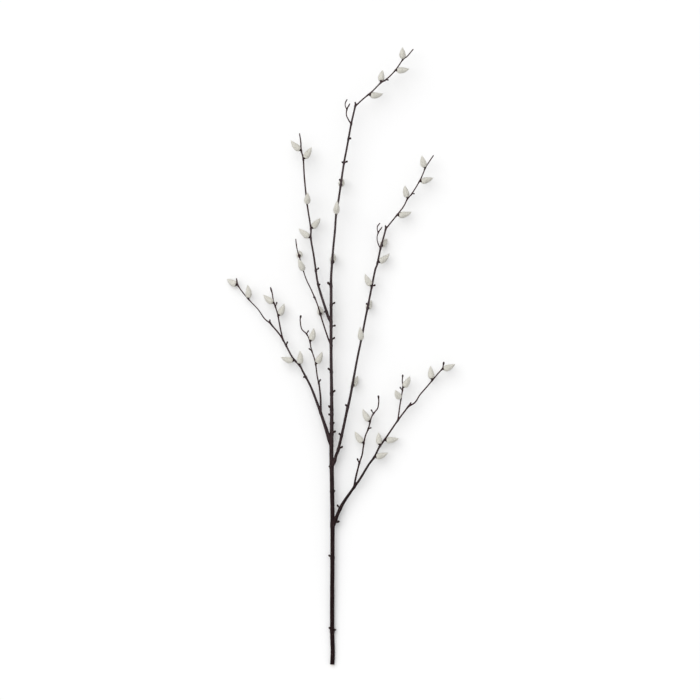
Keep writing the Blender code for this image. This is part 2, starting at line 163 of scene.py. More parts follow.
SHOOTS = (
    Shoot("stem", "", 0, (
        (0, 0, 3.4, 8.2), (1, 24, 3.4, 8.1), (0, 60, 4.8, 8.1), (0, 128, 7.4, 8.1),
        (0.5, 215, 10.4, 8.1), (0.5, 281, 12.6, 8.2), (-0.5, 345, 14.8, 8.2),
        (-1.5, 399, 16.4, 7.9), (-1, 440, 17.4, 7.2), (-1, 504, 19.4, 6.3), (-2, 583, 21.4, 5.7),
        (-2, 667, 23.6, 5.6), (-2, 706, 24.6, 5.3), (-2, 724, 25.1, 4.7), (0, 755, 26.0, 4.5),
        (2, 780, 26.8, 4.2), (5, 810, 27.8, 4.1), (7.5, 843, 28.8, 4.0), (12, 870, 29.5, 3.9),
        (16.5, 901, 30.1, 3.9), (22, 938, 31.0, 3.8), (27.5, 967, 32.0, 3.7),
        (35.5, 1011, 34.0, 3.6), (43, 1044, 36.5, 3.4), (43, 1051, 37.0, 3.2))),
    Shoot("leader_tip", "stem", 1044, (
        (57, 1057, 38.0, 2.7), (75, 1072, 39.0, 2.6), (91, 1088, 40.0, 2.5), (101, 1094, 41.0, 2.5),
        (118, 1111, 42.5, 2.4), (132, 1131, 43.5, 2.3), (140, 1137, 44.0, 2.2),
        (151, 1150, 44.5, 2.1))),
    Shoot("leader_fork", "stem", 1011, (
        (31, 1018, 35.6, 2.3), (27, 1026, 36.6, 2.1), (26.5, 1033, 37.2, 2.1),
        (28, 1040, 37.6, 2.4), (31, 1045, 38.1, 2.7), (32.8, 1048.5, 38.4, 1.9))),
    Shoot("leader_tine", "leader_fork", 1038, (
        (24.6, 1044, 38.2, 1.6), (24.4, 1050, 38.8, 2.0), (26.4, 1054, 39.3, 2.5),
        (27.8, 1056.8, 39.6, 1.6))),
    Shoot("right_high", "stem", 372, (
        (4, 380, 15.9, 6.6), (7, 391, 16.5, 5.9), (12, 405, 17.2, 5.6), (21, 444, 19.4, 5.2),
        (28, 477, 21.3, 5.2), (34, 503, 22.7, 4.8), (46, 568, 24.0, 4.1), (54.5, 609, 23.8, 3.9),
        (62.5, 650, 23.2, 3.9), (70, 687, 22.2, 3.8), (80, 737, 20.2, 3.7), (84, 749, 19.7, 3.6),
        (91, 782, 18.9, 3.5), (94, 792, 19.2, 3.4), (100, 815, 20.6, 3.3),
        (99.5, 821, 21.0, 3.1))),
    Shoot("right_high_tip", "right_high", 815, (
        (112, 830, 22.2, 2.6), (129, 851, 24.2, 2.5), (135.6, 861, 25.2, 2.4), (141, 872, 26.2, 2.4),
        (149, 881, 27.2, 2.3), (163, 904, 29.2, 2.3), (170, 919, 30.4, 2.2), (175, 931, 31.4, 2.2),
        (189, 952, 33.0, 2.1))),
    Shoot("right_high_fork", "right_high", 779, (
        (86.5, 786, 20.4, 2.0), (84, 795, 21.8, 1.8), (84.4, 803, 22.8, 1.8),
        (87, 810, 23.6, 2.1), (90.6, 815, 24.2, 2.5), (93, 818.5, 24.6, 1.7))),
    Shoot("right_high_tine", "right_high_fork", 808, (
        (84.2, 814, 24.4, 1.6), (84.6, 820, 25.2, 2.0), (87.4, 823.5, 25.6, 2.5),
        (89.2, 825.8, 25.8, 1.6))),
    Shoot("left_high", "stem", 641, (
        (-7, 650, 23.6, 5.4), (-12, 665, 23.8, 4.9), (-22, 696, 23.6, 4.4), (-28, 720, 23.4, 3.9),
        (-34, 762, 23.4, 3.6), (-40, 798, 23.8, 3.4), (-40, 816, 24.2, 3.2), (-47, 863, 25.2, 3.0),
        (-52, 912, 26.6, 2.9), (-54, 945, 27.4, 2.8), (-57.8, 962, 28.0, 2.7),
        (-58.7, 978, 28.6, 2.6), (-61, 993, 29.2, 2.2))),
    Shoot("left_mid", "stem", 597, (
        (-8, 612, 21.9, 3.0), (-18, 642, 22.0, 2.7), (-28, 675, 22.6, 2.5), (-39, 701, 23.4, 2.3),
        (-50, 725, 24.4, 2.1), (-61, 762, 26.2, 2.0), (-65, 775, 26.8, 1.9), (-67, 786, 27.2, 2.2),
        (-68, 796, 27.6, 1.8))),
    Shoot("left_low", "stem", 411, (
        (-5, 420, 16.9, 7.6), (-10, 437, 16.7, 7.0), (-19, 464, 16.3, 5.6), (-29, 492, 16.3, 4.8),
        (-40, 520, 16.7, 4.1), (-55, 549, 17.3, 3.6), (-61, 560, 17.4, 3.5), (-75, 576, 17.4, 3.3),
        (-95, 613, 16.6, 3.0), (-115, 638, 15.7, 3.0), (-116.5, 645, 15.5, 2.7))),
    Shoot("left_low_tip", "left_low", 638, (
        (-127, 648, 15.4, 2.3), (-138, 664, 15.1, 2.1), (-153, 680, 14.8, 2.1),
        (-166, 695, 14.3, 2.1), (-176, 709, 13.9, 2.1), (-178, 716, 13.9, 2.8),
        (-179, 722.5, 14.0, 2.0))),
    Shoot("left_low_inner", "left_low", 471, (
        (-21.5, 487, 16.8, 3.9), (-22, 503, 17.8, 3.5), (-24.5, 524, 19.2, 3.1),
        (-28, 540, 20.0, 2.7), (-32, 568, 20.9, 2.4), (-39, 590, 21.2, 2.3),
        (-42, 606, 21.2, 2.2), (-48, 619, 21.0, 2.2), (-57, 628, 20.8, 2.2),
        (-59.8, 643, 20.7, 2.2), (-59.6, 648, 20.7, 2.4), (-59.2, 650.2, 20.7, 4.0),
        (-58.7, 652.3, 20.7, 3.8))),
    Shoot("left_low_outer", "left_low", 607, (
        (-95, 620, 17.0, 2.8), (-99, 640, 17.8, 2.6), (-102, 656, 18.4, 2.4),
        (-107, 672, 18.8, 2.3), (-110, 681, 19.0, 2.2), (-112, 694, 19.2, 2.3),
        (-114, 701, 19.3, 3.3), (-115.2, 705.5, 19.3, 2.3))),
    Shoot("right_low", "stem", 259, (
        (6, 270, 12.3, 7.4), (9.5, 280, 12.8, 6.6), (19, 300, 13.9, 6.2), (33, 321, 15.2, 5.2),
        (51.5, 347, 16.6, 4.4), (68, 374, 18.0, 4.1), (79, 389, 18.7, 3.9), (88, 407, 19.2, 3.5),
        (100, 424, 19.6, 3.3), (124, 459, 20.0, 3.1), (143, 484, 20.2, 3.0),
        (147, 490, 20.2, 2.8))),
    Shoot("right_low_tip", "right_low", 483, (
        (155, 491, 20.1, 2.7), (164, 505, 20.2, 2.6), (177, 520, 20.4, 2.6), (187, 532, 20.6, 2.5),
        (198, 545, 21.0, 2.4), (206, 554, 21.3, 2.3), (207.6, 560.5, 21.5, 2.4),
        (208.1, 562.5, 21.5, 3.9), (208.6, 565.2, 21.6, 3.6))),
    Shoot("right_low_inner", "right_low", 332, (
        (44, 350, 16.8, 3.6), (51, 378, 18.9, 3.1), (56, 393, 19.6, 3.0), (58.5, 410, 20.2, 2.8),
        (62, 428, 20.7, 2.7), (68, 443, 21.0, 2.6), (73, 462, 21.4, 2.5), (78, 471, 21.6, 2.5),
        (85, 480, 21.8, 2.4), (87, 492, 22.0, 2.4), (86.9, 498, 22.1, 2.5),
        (86.6, 500, 22.1, 4.0), (86.3, 502.3, 22.1, 3.8))),
    Shoot("right_low_outer", "right_low", 457, (
        (124.5, 470, 20.6, 2.6), (127, 488, 21.3, 2.4), (130, 505, 21.9, 2.2),
        (132, 519, 22.2, 2.1), (131, 531, 22.5, 2.1), (131.5, 537.5, 22.7, 2.3),
        (131.7, 539.5, 22.7, 3.5), (131.9, 541.5, 22.7, 3.3))),
)

SPURS = (
    Spur("stem", 62, 60, 8.6), Spur("stem", 65, -55, 8.5), Spur("stem", 200, -55, 9.7),
    Spur("stem", 265, 76, 14.4, 4.0), Spur("stem", 324, 75, 6.4), Spur("stem", 370, -76, 6.1),
    Spur("stem", 432, 54, 10.2, 3.8), Spur("stem", 452, 80, 5.8), Spur("stem", 468, -86, 7.0, 3.6),
    Spur("stem", 477, -37, 10.8, 3.6), Spur("stem", 507, 45, 10.2), Spur("stem", 548, -43, 10.3),
    Spur("stem", 607, 53, 9.6), Spur("stem", 633, 78, 9.3), Spur("stem", 673, 57, 9.7),
    Spur("stem", 708, -42, 11.0, 4.2), Spur("stem", 752, 77, 4.8, 3.0), Spur("stem", 905, -59, 5.4),
    Spur("stem", 940, -95, 5.1), Spur("stem", 938, 62, 8.4), Spur("stem", 983, 72, 5.7, 3.8),
    Spur("leader_tip", 1093, 90, 6.2, 2.3),
    Spur("right_high", 403, 57, 10.8), Spur("right_high", 428, -44, 7.9),
    Spur("right_high", 481, -34, 8.2), Spur("right_high", 674, -69, 5.0),
    Spur("right_high", 708, 70, 7.8),
    Spur("right_high_tip", 881, 90, 5.5, 2.3),
    Spur("left_high", 660, -84, 5.1), Spur("left_high", 711, 81, 4.4, 3.0),
    Spur("left_high", 737, 46, 8.7, 3.0),
    Spur("left_mid", 686, -59, 4.0, 2.8),
    Spur("left_low", 538, -88, 5.4), Spur("left_low", 597, 19, 8.8, 3.0),
    Spur("left_low_inner", 527, 25, 8.6, 2.8), Spur("left_low_inner", 587, -50, 8.2, 2.5),
    Spur("left_low_inner", 619, 32, 8.2, 2.5),
    Spur("left_low_outer", 670, 20, 9.8, 2.6),
    Spur("right_low", 292, -39, 10.1),
    Spur("right_low_inner", 377, -24, 10.8, 3.0), Spur("right_low_inner", 441, 64, 7.0, 2.7),
    Spur("right_low_inner", 470, -33, 9.7, 2.6),
    Spur("right_low_outer", 513, -36, 8.8, 2.5),
)

CATKINS = (
    Catkin("leader_tip", 1131, (-6, 4), (32, 30), 22.0),
    Catkin("leader_tip", 1111, (92, 74), (12, 8), 23.0),
    Catkin("leader_tip", 1088, (2, 18), (-22, -24), 22.5),
    Catkin("leader_tip", 1066, (102, 66), (-14, -4), 24.5),
    Catkin("stem", 896, (20, 8), (-68, -34), 22.5),
    Catkin("stem", 844, (4, 4), (62, -2), 26.5),
    Catkin("stem", 754, (18, 8), (-68, -34), 23.0),
    Catkin("right_high_tip", 928, (-19, -7), (20, 18), 22.5),
    Catkin("right_high_tip", 904, (82, 66), (-8, -12), 23.5),
    Catkin("right_high_tip", 872, (-18, -4), (18, 20), 22.5),
    Catkin("right_high_tip", 841, (90, 60), (-8, -6), 25.0),
    Catkin("right_high", 783, (46, 26), (-56, -36), 23.0),
    Catkin("right_high", 752, (64, 36), (-10, -6), 24.5),
    Catkin("right_high", 707, (-36, -16), (12, 10), 23.0),
    Catkin("right_high", 666, (30, 18), (-63, -28), 23.0),
    Catkin("right_high", 608, (-6, -4), (62, -4), 27.0),
    Catkin("right_high", 521, (36, 20), (-58, -12), 25.0),
    Catkin("left_high", 961, (-56, -30), (10, 4), 24.0),
    Catkin("left_high", 945, (40, 24), (-2, 0), 24.0),
    Catkin("left_high", 863, (6, 2), (64, 14), 24.0),
    Catkin("left_high", 815, (46, 32), (-12, -8), 23.5),
    Catkin("left_high", 798, (-58, -42), (4, 2), 24.5),
    Catkin("left_mid", 764, (6, -10), (-74, -52), 22.0),
    Catkin("left_mid", 738, (-22, -24), (60, 0), 26.0),
    Catkin("left_mid", 655, (-4, -18), (-62, -32), 22.0),
    Catkin("left_low_tip", 710, (-68, -50), (-31, -32), 24.0),
    Catkin("left_low_tip", 684, (3, -12), (16, 8), 24.0),
    Catkin("left_low_outer", 676, (-60, -40), (10, 8), 22.5),
    Catkin("left_low_outer", 652, (34, 14), (-8, -6), 23.0),
    Catkin("left_low", 569, (-88, -60), (2, 6), 23.0),
    Catkin("left_low", 560, (8, -8), (16, 6), 24.0),
    Catkin("left_low_inner", 604, (26, 0), (-8, 4), 23.5),
    Catkin("left_low_inner", 562, (36, 14), (4, 6), 23.0),
    Catkin("right_low_tip", 553, (80, 52), (6, 2), 23.0),
    Catkin("right_low_tip", 532, (-12, 2), (-4, 2), 23.5),
    Catkin("right_low_outer", 518, (42, 15), (12, 6), 23.0),
    Catkin("right_low_outer", 497, (-42, -18), (36, 34), 21.0),
    Catkin("right_low_inner", 454, (-38, -16), (4, 0), 24.5),
    Catkin("right_low_inner", 414, (-46, -24), (2, -4), 24.5),
    Catkin("right_low", 409, (-10, 2), (-16, -12), 22.5),
    Catkin("right_low", 420, (90, 74), (-2, 2), 23.5),
    Catkin("right_low", 388, (78, 62), (6, 4), 23.0),
)

# Heights up the stem of its ring scars, where one year's growth ended.
STEM_RINGS = (217, 300, 326, 373, 502, 583)


def in_model(x: float, y: float, z: float) -> Vector:
    """Turn a plan position into a position in the model.

    Args:
        x: Millimetres to the right of the cut end.
        y: Millimetres up from the cut end.
        z: Millimetres above the floor.

    Returns:
        The position in metres.
    """
    return Vector(((x - PLAN_CENTRE_X) * MM, (y - PLAN_CENTRE_Y) * MM, z * MM))


def heading(lean: float, rise: float) -> Vector:
    """Return the direction of something that grows out of the wood.

    Args:
        lean: Degrees from +Y towards +X, seen from above.
        rise: Degrees up from level.

    Returns:
        A unit vector.
    """
    flat = math.cos(math.radians(rise))
    turn = math.radians(lean)
    return Vector((math.sin(turn) * flat, math.cos(turn) * flat, math.sin(math.radians(rise))))


def bump_at(distance: float, width: float) -> float:
    """Return a soft bump: 1 in its middle, falling off over a width.

    Args:
        distance: How far from the middle of the bump.
        width: Where the bump has fallen to about a third.

    Returns:
        The bump's height from 0 to 1.
    """
    return math.exp(-((distance / width) ** 2))


def linear(code: str) -> tuple[float, float, float, float]:
    """Turn an sRGB hex colour into the linear colour that a shader takes.

    Args:
        code: The colour as six hex digits.

    Returns:
        Red, green, blue and full alpha, linear.
    """
    shares = [int(code[place:place + 2], 16) / 255 for place in (0, 2, 4)]
    red, green, blue = (
        share / 12.92 if share <= 0.04045 else ((share + 0.055) / 1.055) ** 2.4
        for share in shares)
    return red, green, blue, 1.0


def plain_object(name: str, mesh: bpy.types.Mesh) -> bpy.types.Object:
    """Make an object at the origin for a mesh and show it.

    Args:
        name: The object's name, which its mesh takes too.
        mesh: Its mesh, with its place in its points.

    Returns:
        The object.
    """
    made = bpy.data.objects.new(name, mesh)
    mesh.name = name
    bpy.context.scene.collection.objects.link(made)
    return made


def mesh_result(shape: bpy.types.Object) -> bpy.types.Mesh:
    """Turn what an object's modifiers make of it into a plain mesh.

    Args:
        shape: The object.

    Returns:
        The mesh.
    """
    bpy.context.view_layer.update()
    evaluated = shape.evaluated_get(bpy.context.evaluated_depsgraph_get())
    return bpy.data.meshes.new_from_object(evaluated)


def dress(piece: bpy.types.Object, node: str) -> None:
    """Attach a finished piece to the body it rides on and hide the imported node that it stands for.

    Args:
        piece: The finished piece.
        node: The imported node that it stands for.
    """
    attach(piece, BODY)
    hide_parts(node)
    LOG.info("%s: %d faces for %s", piece.name, len(piece.data.polygons), node)


def in_use(sockets: Iterable[bpy.types.NodeSocket], key: str | int) -> bpy.types.NodeSocket:
    """Return one of a node's sockets, leaving out those that its settings switch off.

    Args:
        sockets: The node's inputs or outputs.
        key: The socket's name, or its number among those in use.

    Returns:
        The socket.
    """
    used = [socket for socket in sockets if socket.enabled]
    names = [socket.name for socket in used]
    return used[key if isinstance(key, int) else names.index(key)]


class Nodes:
    """A node tree in the making."""

    def __init__(self, tree: bpy.types.NodeTree) -> None:
        """Keep the tree.

        Args:
            tree: The tree that gets the nodes.
        """
        self.tree = tree

    def feed(self, node: bpy.types.Node, inputs: dict[str | int, object]) -> None:
        """Set and link a node's inputs.

        Args:
            node: The node.
            inputs: For an input's name or number, its value, or the node or output that feeds it.
        """
        for key, value in inputs.items():
            source = in_use(value.outputs, 0) if isinstance(value, bpy.types.Node) else value
            if isinstance(source, bpy.types.NodeSocket):
                self.tree.links.new(source, in_use(node.inputs, key))
            else:
                in_use(node.inputs, key).default_value = source

    def add(
        self, kind: str, inputs: dict[str | int, object] | None = None, **settings: object,
    ) -> bpy.types.Node:
        """Add one node with its settings and links.

        Args:
            kind: The node's type name.
            inputs: What it is fed, as feed takes it.
            **settings: The node's own properties.

        Returns:
            The new node.
        """
        node = self.tree.nodes.new(kind)
        for name, value in settings.items():
            setattr(node, name, value)
        self.feed(node, inputs or {})
        return node


class Recipe(Nodes):
    """A geometry node tree with named inputs, and the call that turns it into a plain mesh."""

    def __init__(self, name: str, inputs: dict[str, str]) -> None:
        """Start a tree that takes a geometry, a material and named values.

        Args:
            name: The tree's name.
            inputs: For each named value, its kind: Float, Int or Object.
        """
        super().__init__(bpy.data.node_groups.new(name, "GeometryNodeTree"))
        new_socket = self.tree.interface.new_socket
        for side in ("INPUT", "OUTPUT"):
            new_socket("Geometry", in_out=side, socket_type="NodeSocketGeometry")
        self.identifiers = {
            title: new_socket(title, in_out="INPUT", socket_type=f"NodeSocket{kind}").identifier
            for title, kind in {**inputs, "Material": "Material"}.items()}
        self.given = self.add("NodeGroupInput").outputs

    def end(self, geometry: bpy.types.Node) -> None:
        """Make the copies real, keep all above the floor and give it its material.

        Args:
            geometry: The node that gives what the tree has made.
        """
        real = self.add("GeometryNodeRealizeInstances", {"Geometry": geometry})
        # No point lies a metre to the left or below, so only the height is held.
        above = self.add(
            "ShaderNodeVectorMath",
            {0: self.add("GeometryNodeInputPosition"), 1: (-1.0, -1.0, FLOOR_CLEARANCE)},
            operation="MAXIMUM")
        kept = self.add("GeometryNodeSetPosition", {"Geometry": real, "Position": above})
        smooth = self.add("GeometryNodeSetShadeSmooth", {"Geometry": kept})
        made_of = self.add(
            "GeometryNodeSetMaterial", {"Geometry": smooth, "Material": self.given["Material"]})
        self.add("NodeGroupOutput", {"Geometry": made_of})

    def run(self, guide: bpy.types.Object, values: dict[str, object]) -> bpy.types.Mesh:
        """Run the tree on an object and return the result as a plain mesh.

        Args:
            guide: The object that the tree starts from.
            values: The value of each named input.

        Returns:
            The mesh that the tree makes.
        """
        modifier = guide.modifiers.new(self.tree.name, "NODES")
        modifier.node_group = self.tree
        for title, value in values.items():
            modifier[self.identifiers[title]] = value
        mesh = mesh_result(guide)
        guide.modifiers.remove(modifier)
        return mesh


@dataclass
class Plan:
    """Where every shoot of the spray runs."""

    steps: int = 10
    # How thick a side shoot may start inside its parent, as a share of the parent there.
    root_share: float = 0.8
    # How far apart two places are that give a shoot's direction, in millimetres.
    look_ahead: float = 3.0
    curves: dict[str, list[Vector]] = field(init=False, default_factory=dict)

    def __post_init__(self) -> None:
        """Run a fine curve along each shoot; a side shoot starts inside the one it leaves."""
        for shoot in SHOOTS:
            points = [Vector(point) for point in shoot.route]
            if shoot.parent:
                foot = self.at(shoot.parent, shoot.leaves_at)
                foot.w = min(points[0].w, foot.w * self.root_share)
                points.insert(0, foot)
            self.curves[shoot.name] = self.smooth(points)

    def smooth(self, points: Sequence[Vector]) -> list[Vector]:
        """Run a Catmull-Rom curve through points.

        Args:
            points: The route's points, as (x, y, z, diameter).

        Returns:
            The fine curve.
        """
        ends = [2 * points[0] - points[1], *points, 2 * points[-1] - points[-2]]
        curve = []
        for before, start, end, after in zip(ends, ends[1:], ends[2:], ends[3:]):
            for step in range(self.steps):
                t = step / self.steps
                curve.append(0.5 * (
                    2 * start + (end - before) * t
                    + (2 * before - 5 * start + 4 * end - after) * t ** 2
                    + (3 * start - before - 3 * end + after) * t ** 3))
        curve.append(points[-1])
        return curve

    def at(self, shoot: str, y: float) -> Vector:
        """Return the place on a shoot's middle line.

        Args:
            shoot: The shoot's name.
            y: Millimetres up from the cut end.

        Returns:
            The place as (x, y, z, diameter).
        """
        curve = self.curves[shoot]
        for start, end in zip(curve, curve[1:]):
            if start.y < end.y and y <= end.y:
                share = (y - start.y) / (end.y - start.y)
                return start.lerp(end, min(max(share, 0.0), 1.0))
        return curve[-1].copy()

    def onward(self, shoot: str, y: float) -> Vector:
        """Return the direction in which a shoot grows on from a place.

        Args:
            shoot: The shoot's name.
            y: Millimetres up from the cut end.

        Returns:
            A unit vector.
        """
        return (self.at(shoot, y + self.look_ahead).xyz - self.at(shoot, y).xyz).normalized()


@dataclass(frozen=True)
class Pattern:
    """Noise of a real size in millimetres, its number of finer layers and how strong they are."""

    size: tuple[float, float, float]
    detail: float = 2.0
    roughness: float = 0.6


class Finish(Nodes):
    """A material in the making, with the place of each of its points."""

    def __init__(self, name: str) -> None:
        """Start a material with one shader.

        Args:
            name: The material's name.
        """
        self.material = bpy.data.materials.new(name)
        self.material.use_nodes = True
        super().__init__(self.material.node_tree)
        self.place = self.add("ShaderNodeTexCoord").outputs["Object"]

    def noise(self, place: bpy.types.NodeSocket, pattern: Pattern) -> bpy.types.Node:
        """Draw a pattern at its real size.

        Args:
            place: Where a point is, in metres.
            pattern: The pattern.

        Returns:
            The node that gives its value from 0 to 1.
        """
        sized = self.add(
            "ShaderNodeMapping",
            {"Vector": place, "Scale": tuple(1 / (size * MM) for size in pattern.size)})
        return self.add("ShaderNodeTexNoise", {
            "Vector": sized, "Scale": 1.0, "Detail": pattern.detail,
            "Roughness": pattern.roughness})

    def done(self, inputs: dict[str | int, object]) -> bpy.types.Material:
        """Feed the shader and return the material.

        Args:
            inputs: What the shader is fed, as feed takes it.

        Returns:
            The material.
        """
        self.feed(self.tree.nodes["Principled BSDF"], inputs)
        return self.material


@dataclass(frozen=True)
class WillowBark:
    """Young willow bark: thin, smooth and faintly waxy, finely wrinkled along the shoot.

    To the eye it is a dull purple brown, darkest at the old foot, greyer higher up the thick wood
    and redder on fine shoots, with fine lengthwise streaks and small cross wrinkles. Both are
    drawn a little coarser than on the real bark, so that they show.
    """

    # Heights in millimetres and the colour of thick wood there.
    ages: tuple[tuple[float, str], ...] = (
        (130, "1B0E0F"), (300, "221718"), (530, "362C2E"), (770, "3F3537"))
    # The colour of fine shoots, none of it from the first radius and all of it from the second.
    young: str = "3A2628"
    young_radius: tuple[float, float] = (1.9, 1.2)
    streak: Pattern = Pattern((0.55, 9.0, 0.55), 4.0)
    wrinkle: Pattern = Pattern((2.2, 0.6, 2.2))
    patch: Pattern = Pattern((5.0, 16.0, 5.0))
    # How much each pattern darkens and lightens the colour.
    streak_shade: tuple[float, float] = (0.45, 1.75)
    wrinkle_shade: tuple[float, float] = (0.85, 1.15)
    patch_shade: tuple[float, float] = (0.75, 1.25)
    # Each relief's strength and its depth in millimetres.
    streak_relief: tuple[float, float] = (0.8, 0.2)
    wrinkle_relief: tuple[float, float] = (0.7, 0.06)
    roughness: tuple[float, float] = (0.7, 0.4)
    gloss: float = 0.06

    def spread(
        self, finish: Finish, noise: bpy.types.Node, ends: tuple[float, float],
    ) -> bpy.types.Node:
        """Spread the middle of a noise over a range.

        Args:
            finish: The material.
            noise: The noise.
            ends: What its low and its high values become.

        Returns:
            The node that gives the spread value.
        """
        return finish.add("ShaderNodeMapRange", {
            "Value": noise, "From Min": NOISE_MIDDLE[0], "From Max": NOISE_MIDDLE[1],
            "To Min": ends[0], "To Max": ends[1]})

    def skin(self, finish: Finish, grown: bpy.types.NodeSocket) -> bpy.types.Node:
        """Colour the bark by its age, which shows in its height and its shoot's thickness.

        Args:
            finish: The material.
            grown: Where a point lies on its own shoot.

        Returns:
            The node that gives the colour.
        """
        height = finish.add("ShaderNodeSeparateXYZ", {"Vector": finish.place}).outputs["Y"]
        lowest, highest = self.ages[0][0], self.ages[-1][0]
        up = finish.add("ShaderNodeMapRange", {
            "Value": height, "From Min": in_model(0, lowest, 0).y,
            "From Max": in_model(0, highest, 0).y})
        age = finish.add("ShaderNodeValToRGB", {"Fac": up})
        stops = age.color_ramp.elements
        stops[0].color = linear(self.ages[0][1])
        stops[1].color = linear(self.ages[-1][1])
        for y, code in self.ages[1:-1]:
            stops.new((y - lowest) / (highest - lowest)).color = linear(code)
        across = finish.add(
            "ShaderNodeVectorMath", {0: grown, 1: (1.0, 0.0, 1.0)}, operation="MULTIPLY")
        radius = finish.add("ShaderNodeVectorMath", {0: across}, operation="LENGTH")
        youth = finish.add("ShaderNodeMapRange", {
            "Value": radius, "From Min": self.young_radius[0] * MM,
            "From Max": self.young_radius[1] * MM})
        return finish.add(
            "ShaderNodeMix", {"Factor": youth, "A": age, "B": linear(self.young)},
            data_type="RGBA")

    def make(self) -> bpy.types.Material:
        """Draw the bark: its colour by age and patches, its streaks and its wrinkles.

        Returns:
            The material.
        """
        finish = Finish("willow_bark")
        grown = finish.add("ShaderNodeAttribute", attribute_name=BARK_PLACE).outputs["Vector"]
        streaks = finish.noise(grown, self.streak)
        wrinkles = finish.noise(grown, self.wrinkle)
        patches = finish.noise(grown, self.patch)
        broad = finish.add(
            "ShaderNodeMath",
            {0: self.spread(finish, streaks, self.streak_shade),
             1: self.spread(finish, patches, self.patch_shade)}, operation="MULTIPLY")
        shade = finish.add(
            "ShaderNodeMath", {0: broad, 1: self.spread(finish, wrinkles, self.wrinkle_shade)},
            operation="MULTIPLY")
        colour = finish.add(
            "ShaderNodeVectorMath", {0: self.skin(finish, grown), "Scale": shade},
            operation="SCALE")
        ridged = finish.add("ShaderNodeBump", {
            "Height": streaks, "Strength": self.streak_relief[0],
            "Distance": self.streak_relief[1] * MM})
        wrinkled = finish.add("ShaderNodeBump", {
            "Height": wrinkles, "Strength": self.wrinkle_relief[0],
            "Distance": self.wrinkle_relief[1] * MM, "Normal": ridged})
        return finish.done({
            "Base Color": colour, "Roughness": self.spread(finish, streaks, self.roughness),
            "Normal": wrinkled, "Specular IOR Level": self.gloss})


@dataclass(frozen=True)
class Mottled:
    """A finish of two colours in soft patches: its real patch size, gloss and relief."""

    name: str
    dark: str
    light: str
    patch: tuple[float, float, float]
    roughness: float
    relief: float
    gloss: float = 0.5
    sheen: float = 0.0
    layers: tuple[float, float] = (3.0, 0.55)
    relief_strength: float = 0.5

    def make(self) -> bpy.types.Material:
        """Draw the two colours in patches, with a low relief.

        Returns:
            The material.
        """
        finish = Finish(self.name)
        patches = finish.noise(finish.place, Pattern(self.patch, *self.layers))
        colour = finish.add("ShaderNodeValToRGB", {"Fac": patches})
        stops = zip(colour.color_ramp.elements, NOISE_MIDDLE, (self.dark, self.light))
        for stop, place, code in stops:
            stop.position = place
            stop.color = linear(code)
        bump = finish.add("ShaderNodeBump", {
            "Height": patches, "Strength": self.relief_strength, "Distance": self.relief * MM})
        return finish.done({
            "Base Color": colour, "Normal": bump, "Roughness": self.roughness,
            "Specular IOR Level": self.gloss, "Sheen Weight": self.sheen})


# Bud scales are leathery and smooth, a warmer and glossier brown than the bark.
BUD_SCALE = Mottled("willow_bud_scale", "140A0A", "331D1A", (0.8, 2.4, 0.8), 0.38, 0.1, 0.16)
# Leaf scars and lenticels are cork: dull, dry and paler than the bark.
SCAR_CORK = Mottled("leaf_scar_cork", "2C211F", "54453D", (0.5, 0.5, 0.5), 0.9, 0.06, 0.2)
CORK = Mottled("lenticel_cork", "5E5148", "8A7A6C", (0.4, 0.4, 0.4), 0.85, 0.03, 0.3)
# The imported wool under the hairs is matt, a warm grey cream, darker between the tufts.
WOOL = Mottled("catkin_wool", "D3D0C6", "E7E5DD", (1.6, 1.6, 1.6), 0.95, 0.1, 0.3, 0.2)
# The long hairs are fine silk: paler than the wool, with a soft sheen that blurs the outline.
SILK = Mottled("catkin_silk", "E3E1D8", "F3F1EB", (2.4, 2.4, 2.4), 0.7, 0.02, 0.3, 0.35)
# The floor is white studio board, matt and even.
BOARD = Mottled("studio_board", "F5F5F5", "F8F8F8", (0.9, 0.9, 0.9), 0.9, 0.02)


@dataclass(frozen=True)
class CutWood:
    """Freshly cut willow: pale cream wood in fine rings round a small brown pith, dry and matt."""

    pale: str = "CDB893"
    dark: str = "B9A17C"
    pith: str = "5B432E"
    ring_width: float = 0.9
    pith_radius: float = 0.5
    roughness: float = 0.8

    def make(self) -> bpy.types.Material:
        """Draw the rings and the pith round the middle of the cut end.

        Returns:
            The material.
        """
        finish = Finish("cut_willow_wood")
        centre = in_model(*SHOOTS[0].route[0][:3])
        centred = finish.add(
            "ShaderNodeVectorMath", {0: finish.place, 1: centre}, operation="SUBTRACT")
        out = finish.add("ShaderNodeVectorMath", {0: centred}, operation="LENGTH")
        turns = finish.add(
            "ShaderNodeMath", {0: out, 1: 2 * math.pi / (self.ring_width * MM)},
            operation="MULTIPLY")
        wave = finish.add("ShaderNodeMath", {0: turns}, operation="SINE")
        share = finish.add("ShaderNodeMapRange", {"Value": wave, "From Min": -1.0})
        rings = finish.add(
            "ShaderNodeMix", {"Factor": share, "A": linear(self.dark), "B": linear(self.pale)},
            data_type="RGBA")
        inside = finish.add(
            "ShaderNodeMath", {0: out, 1: self.pith_radius * MM}, operation="LESS_THAN")
        colour = finish.add(
            "ShaderNodeMix", {"Factor": inside, "A": rings, "B": linear(self.pith)},
            data_type="RGBA")
        return finish.done({"Base Color": colour, "Roughness": self.roughness})


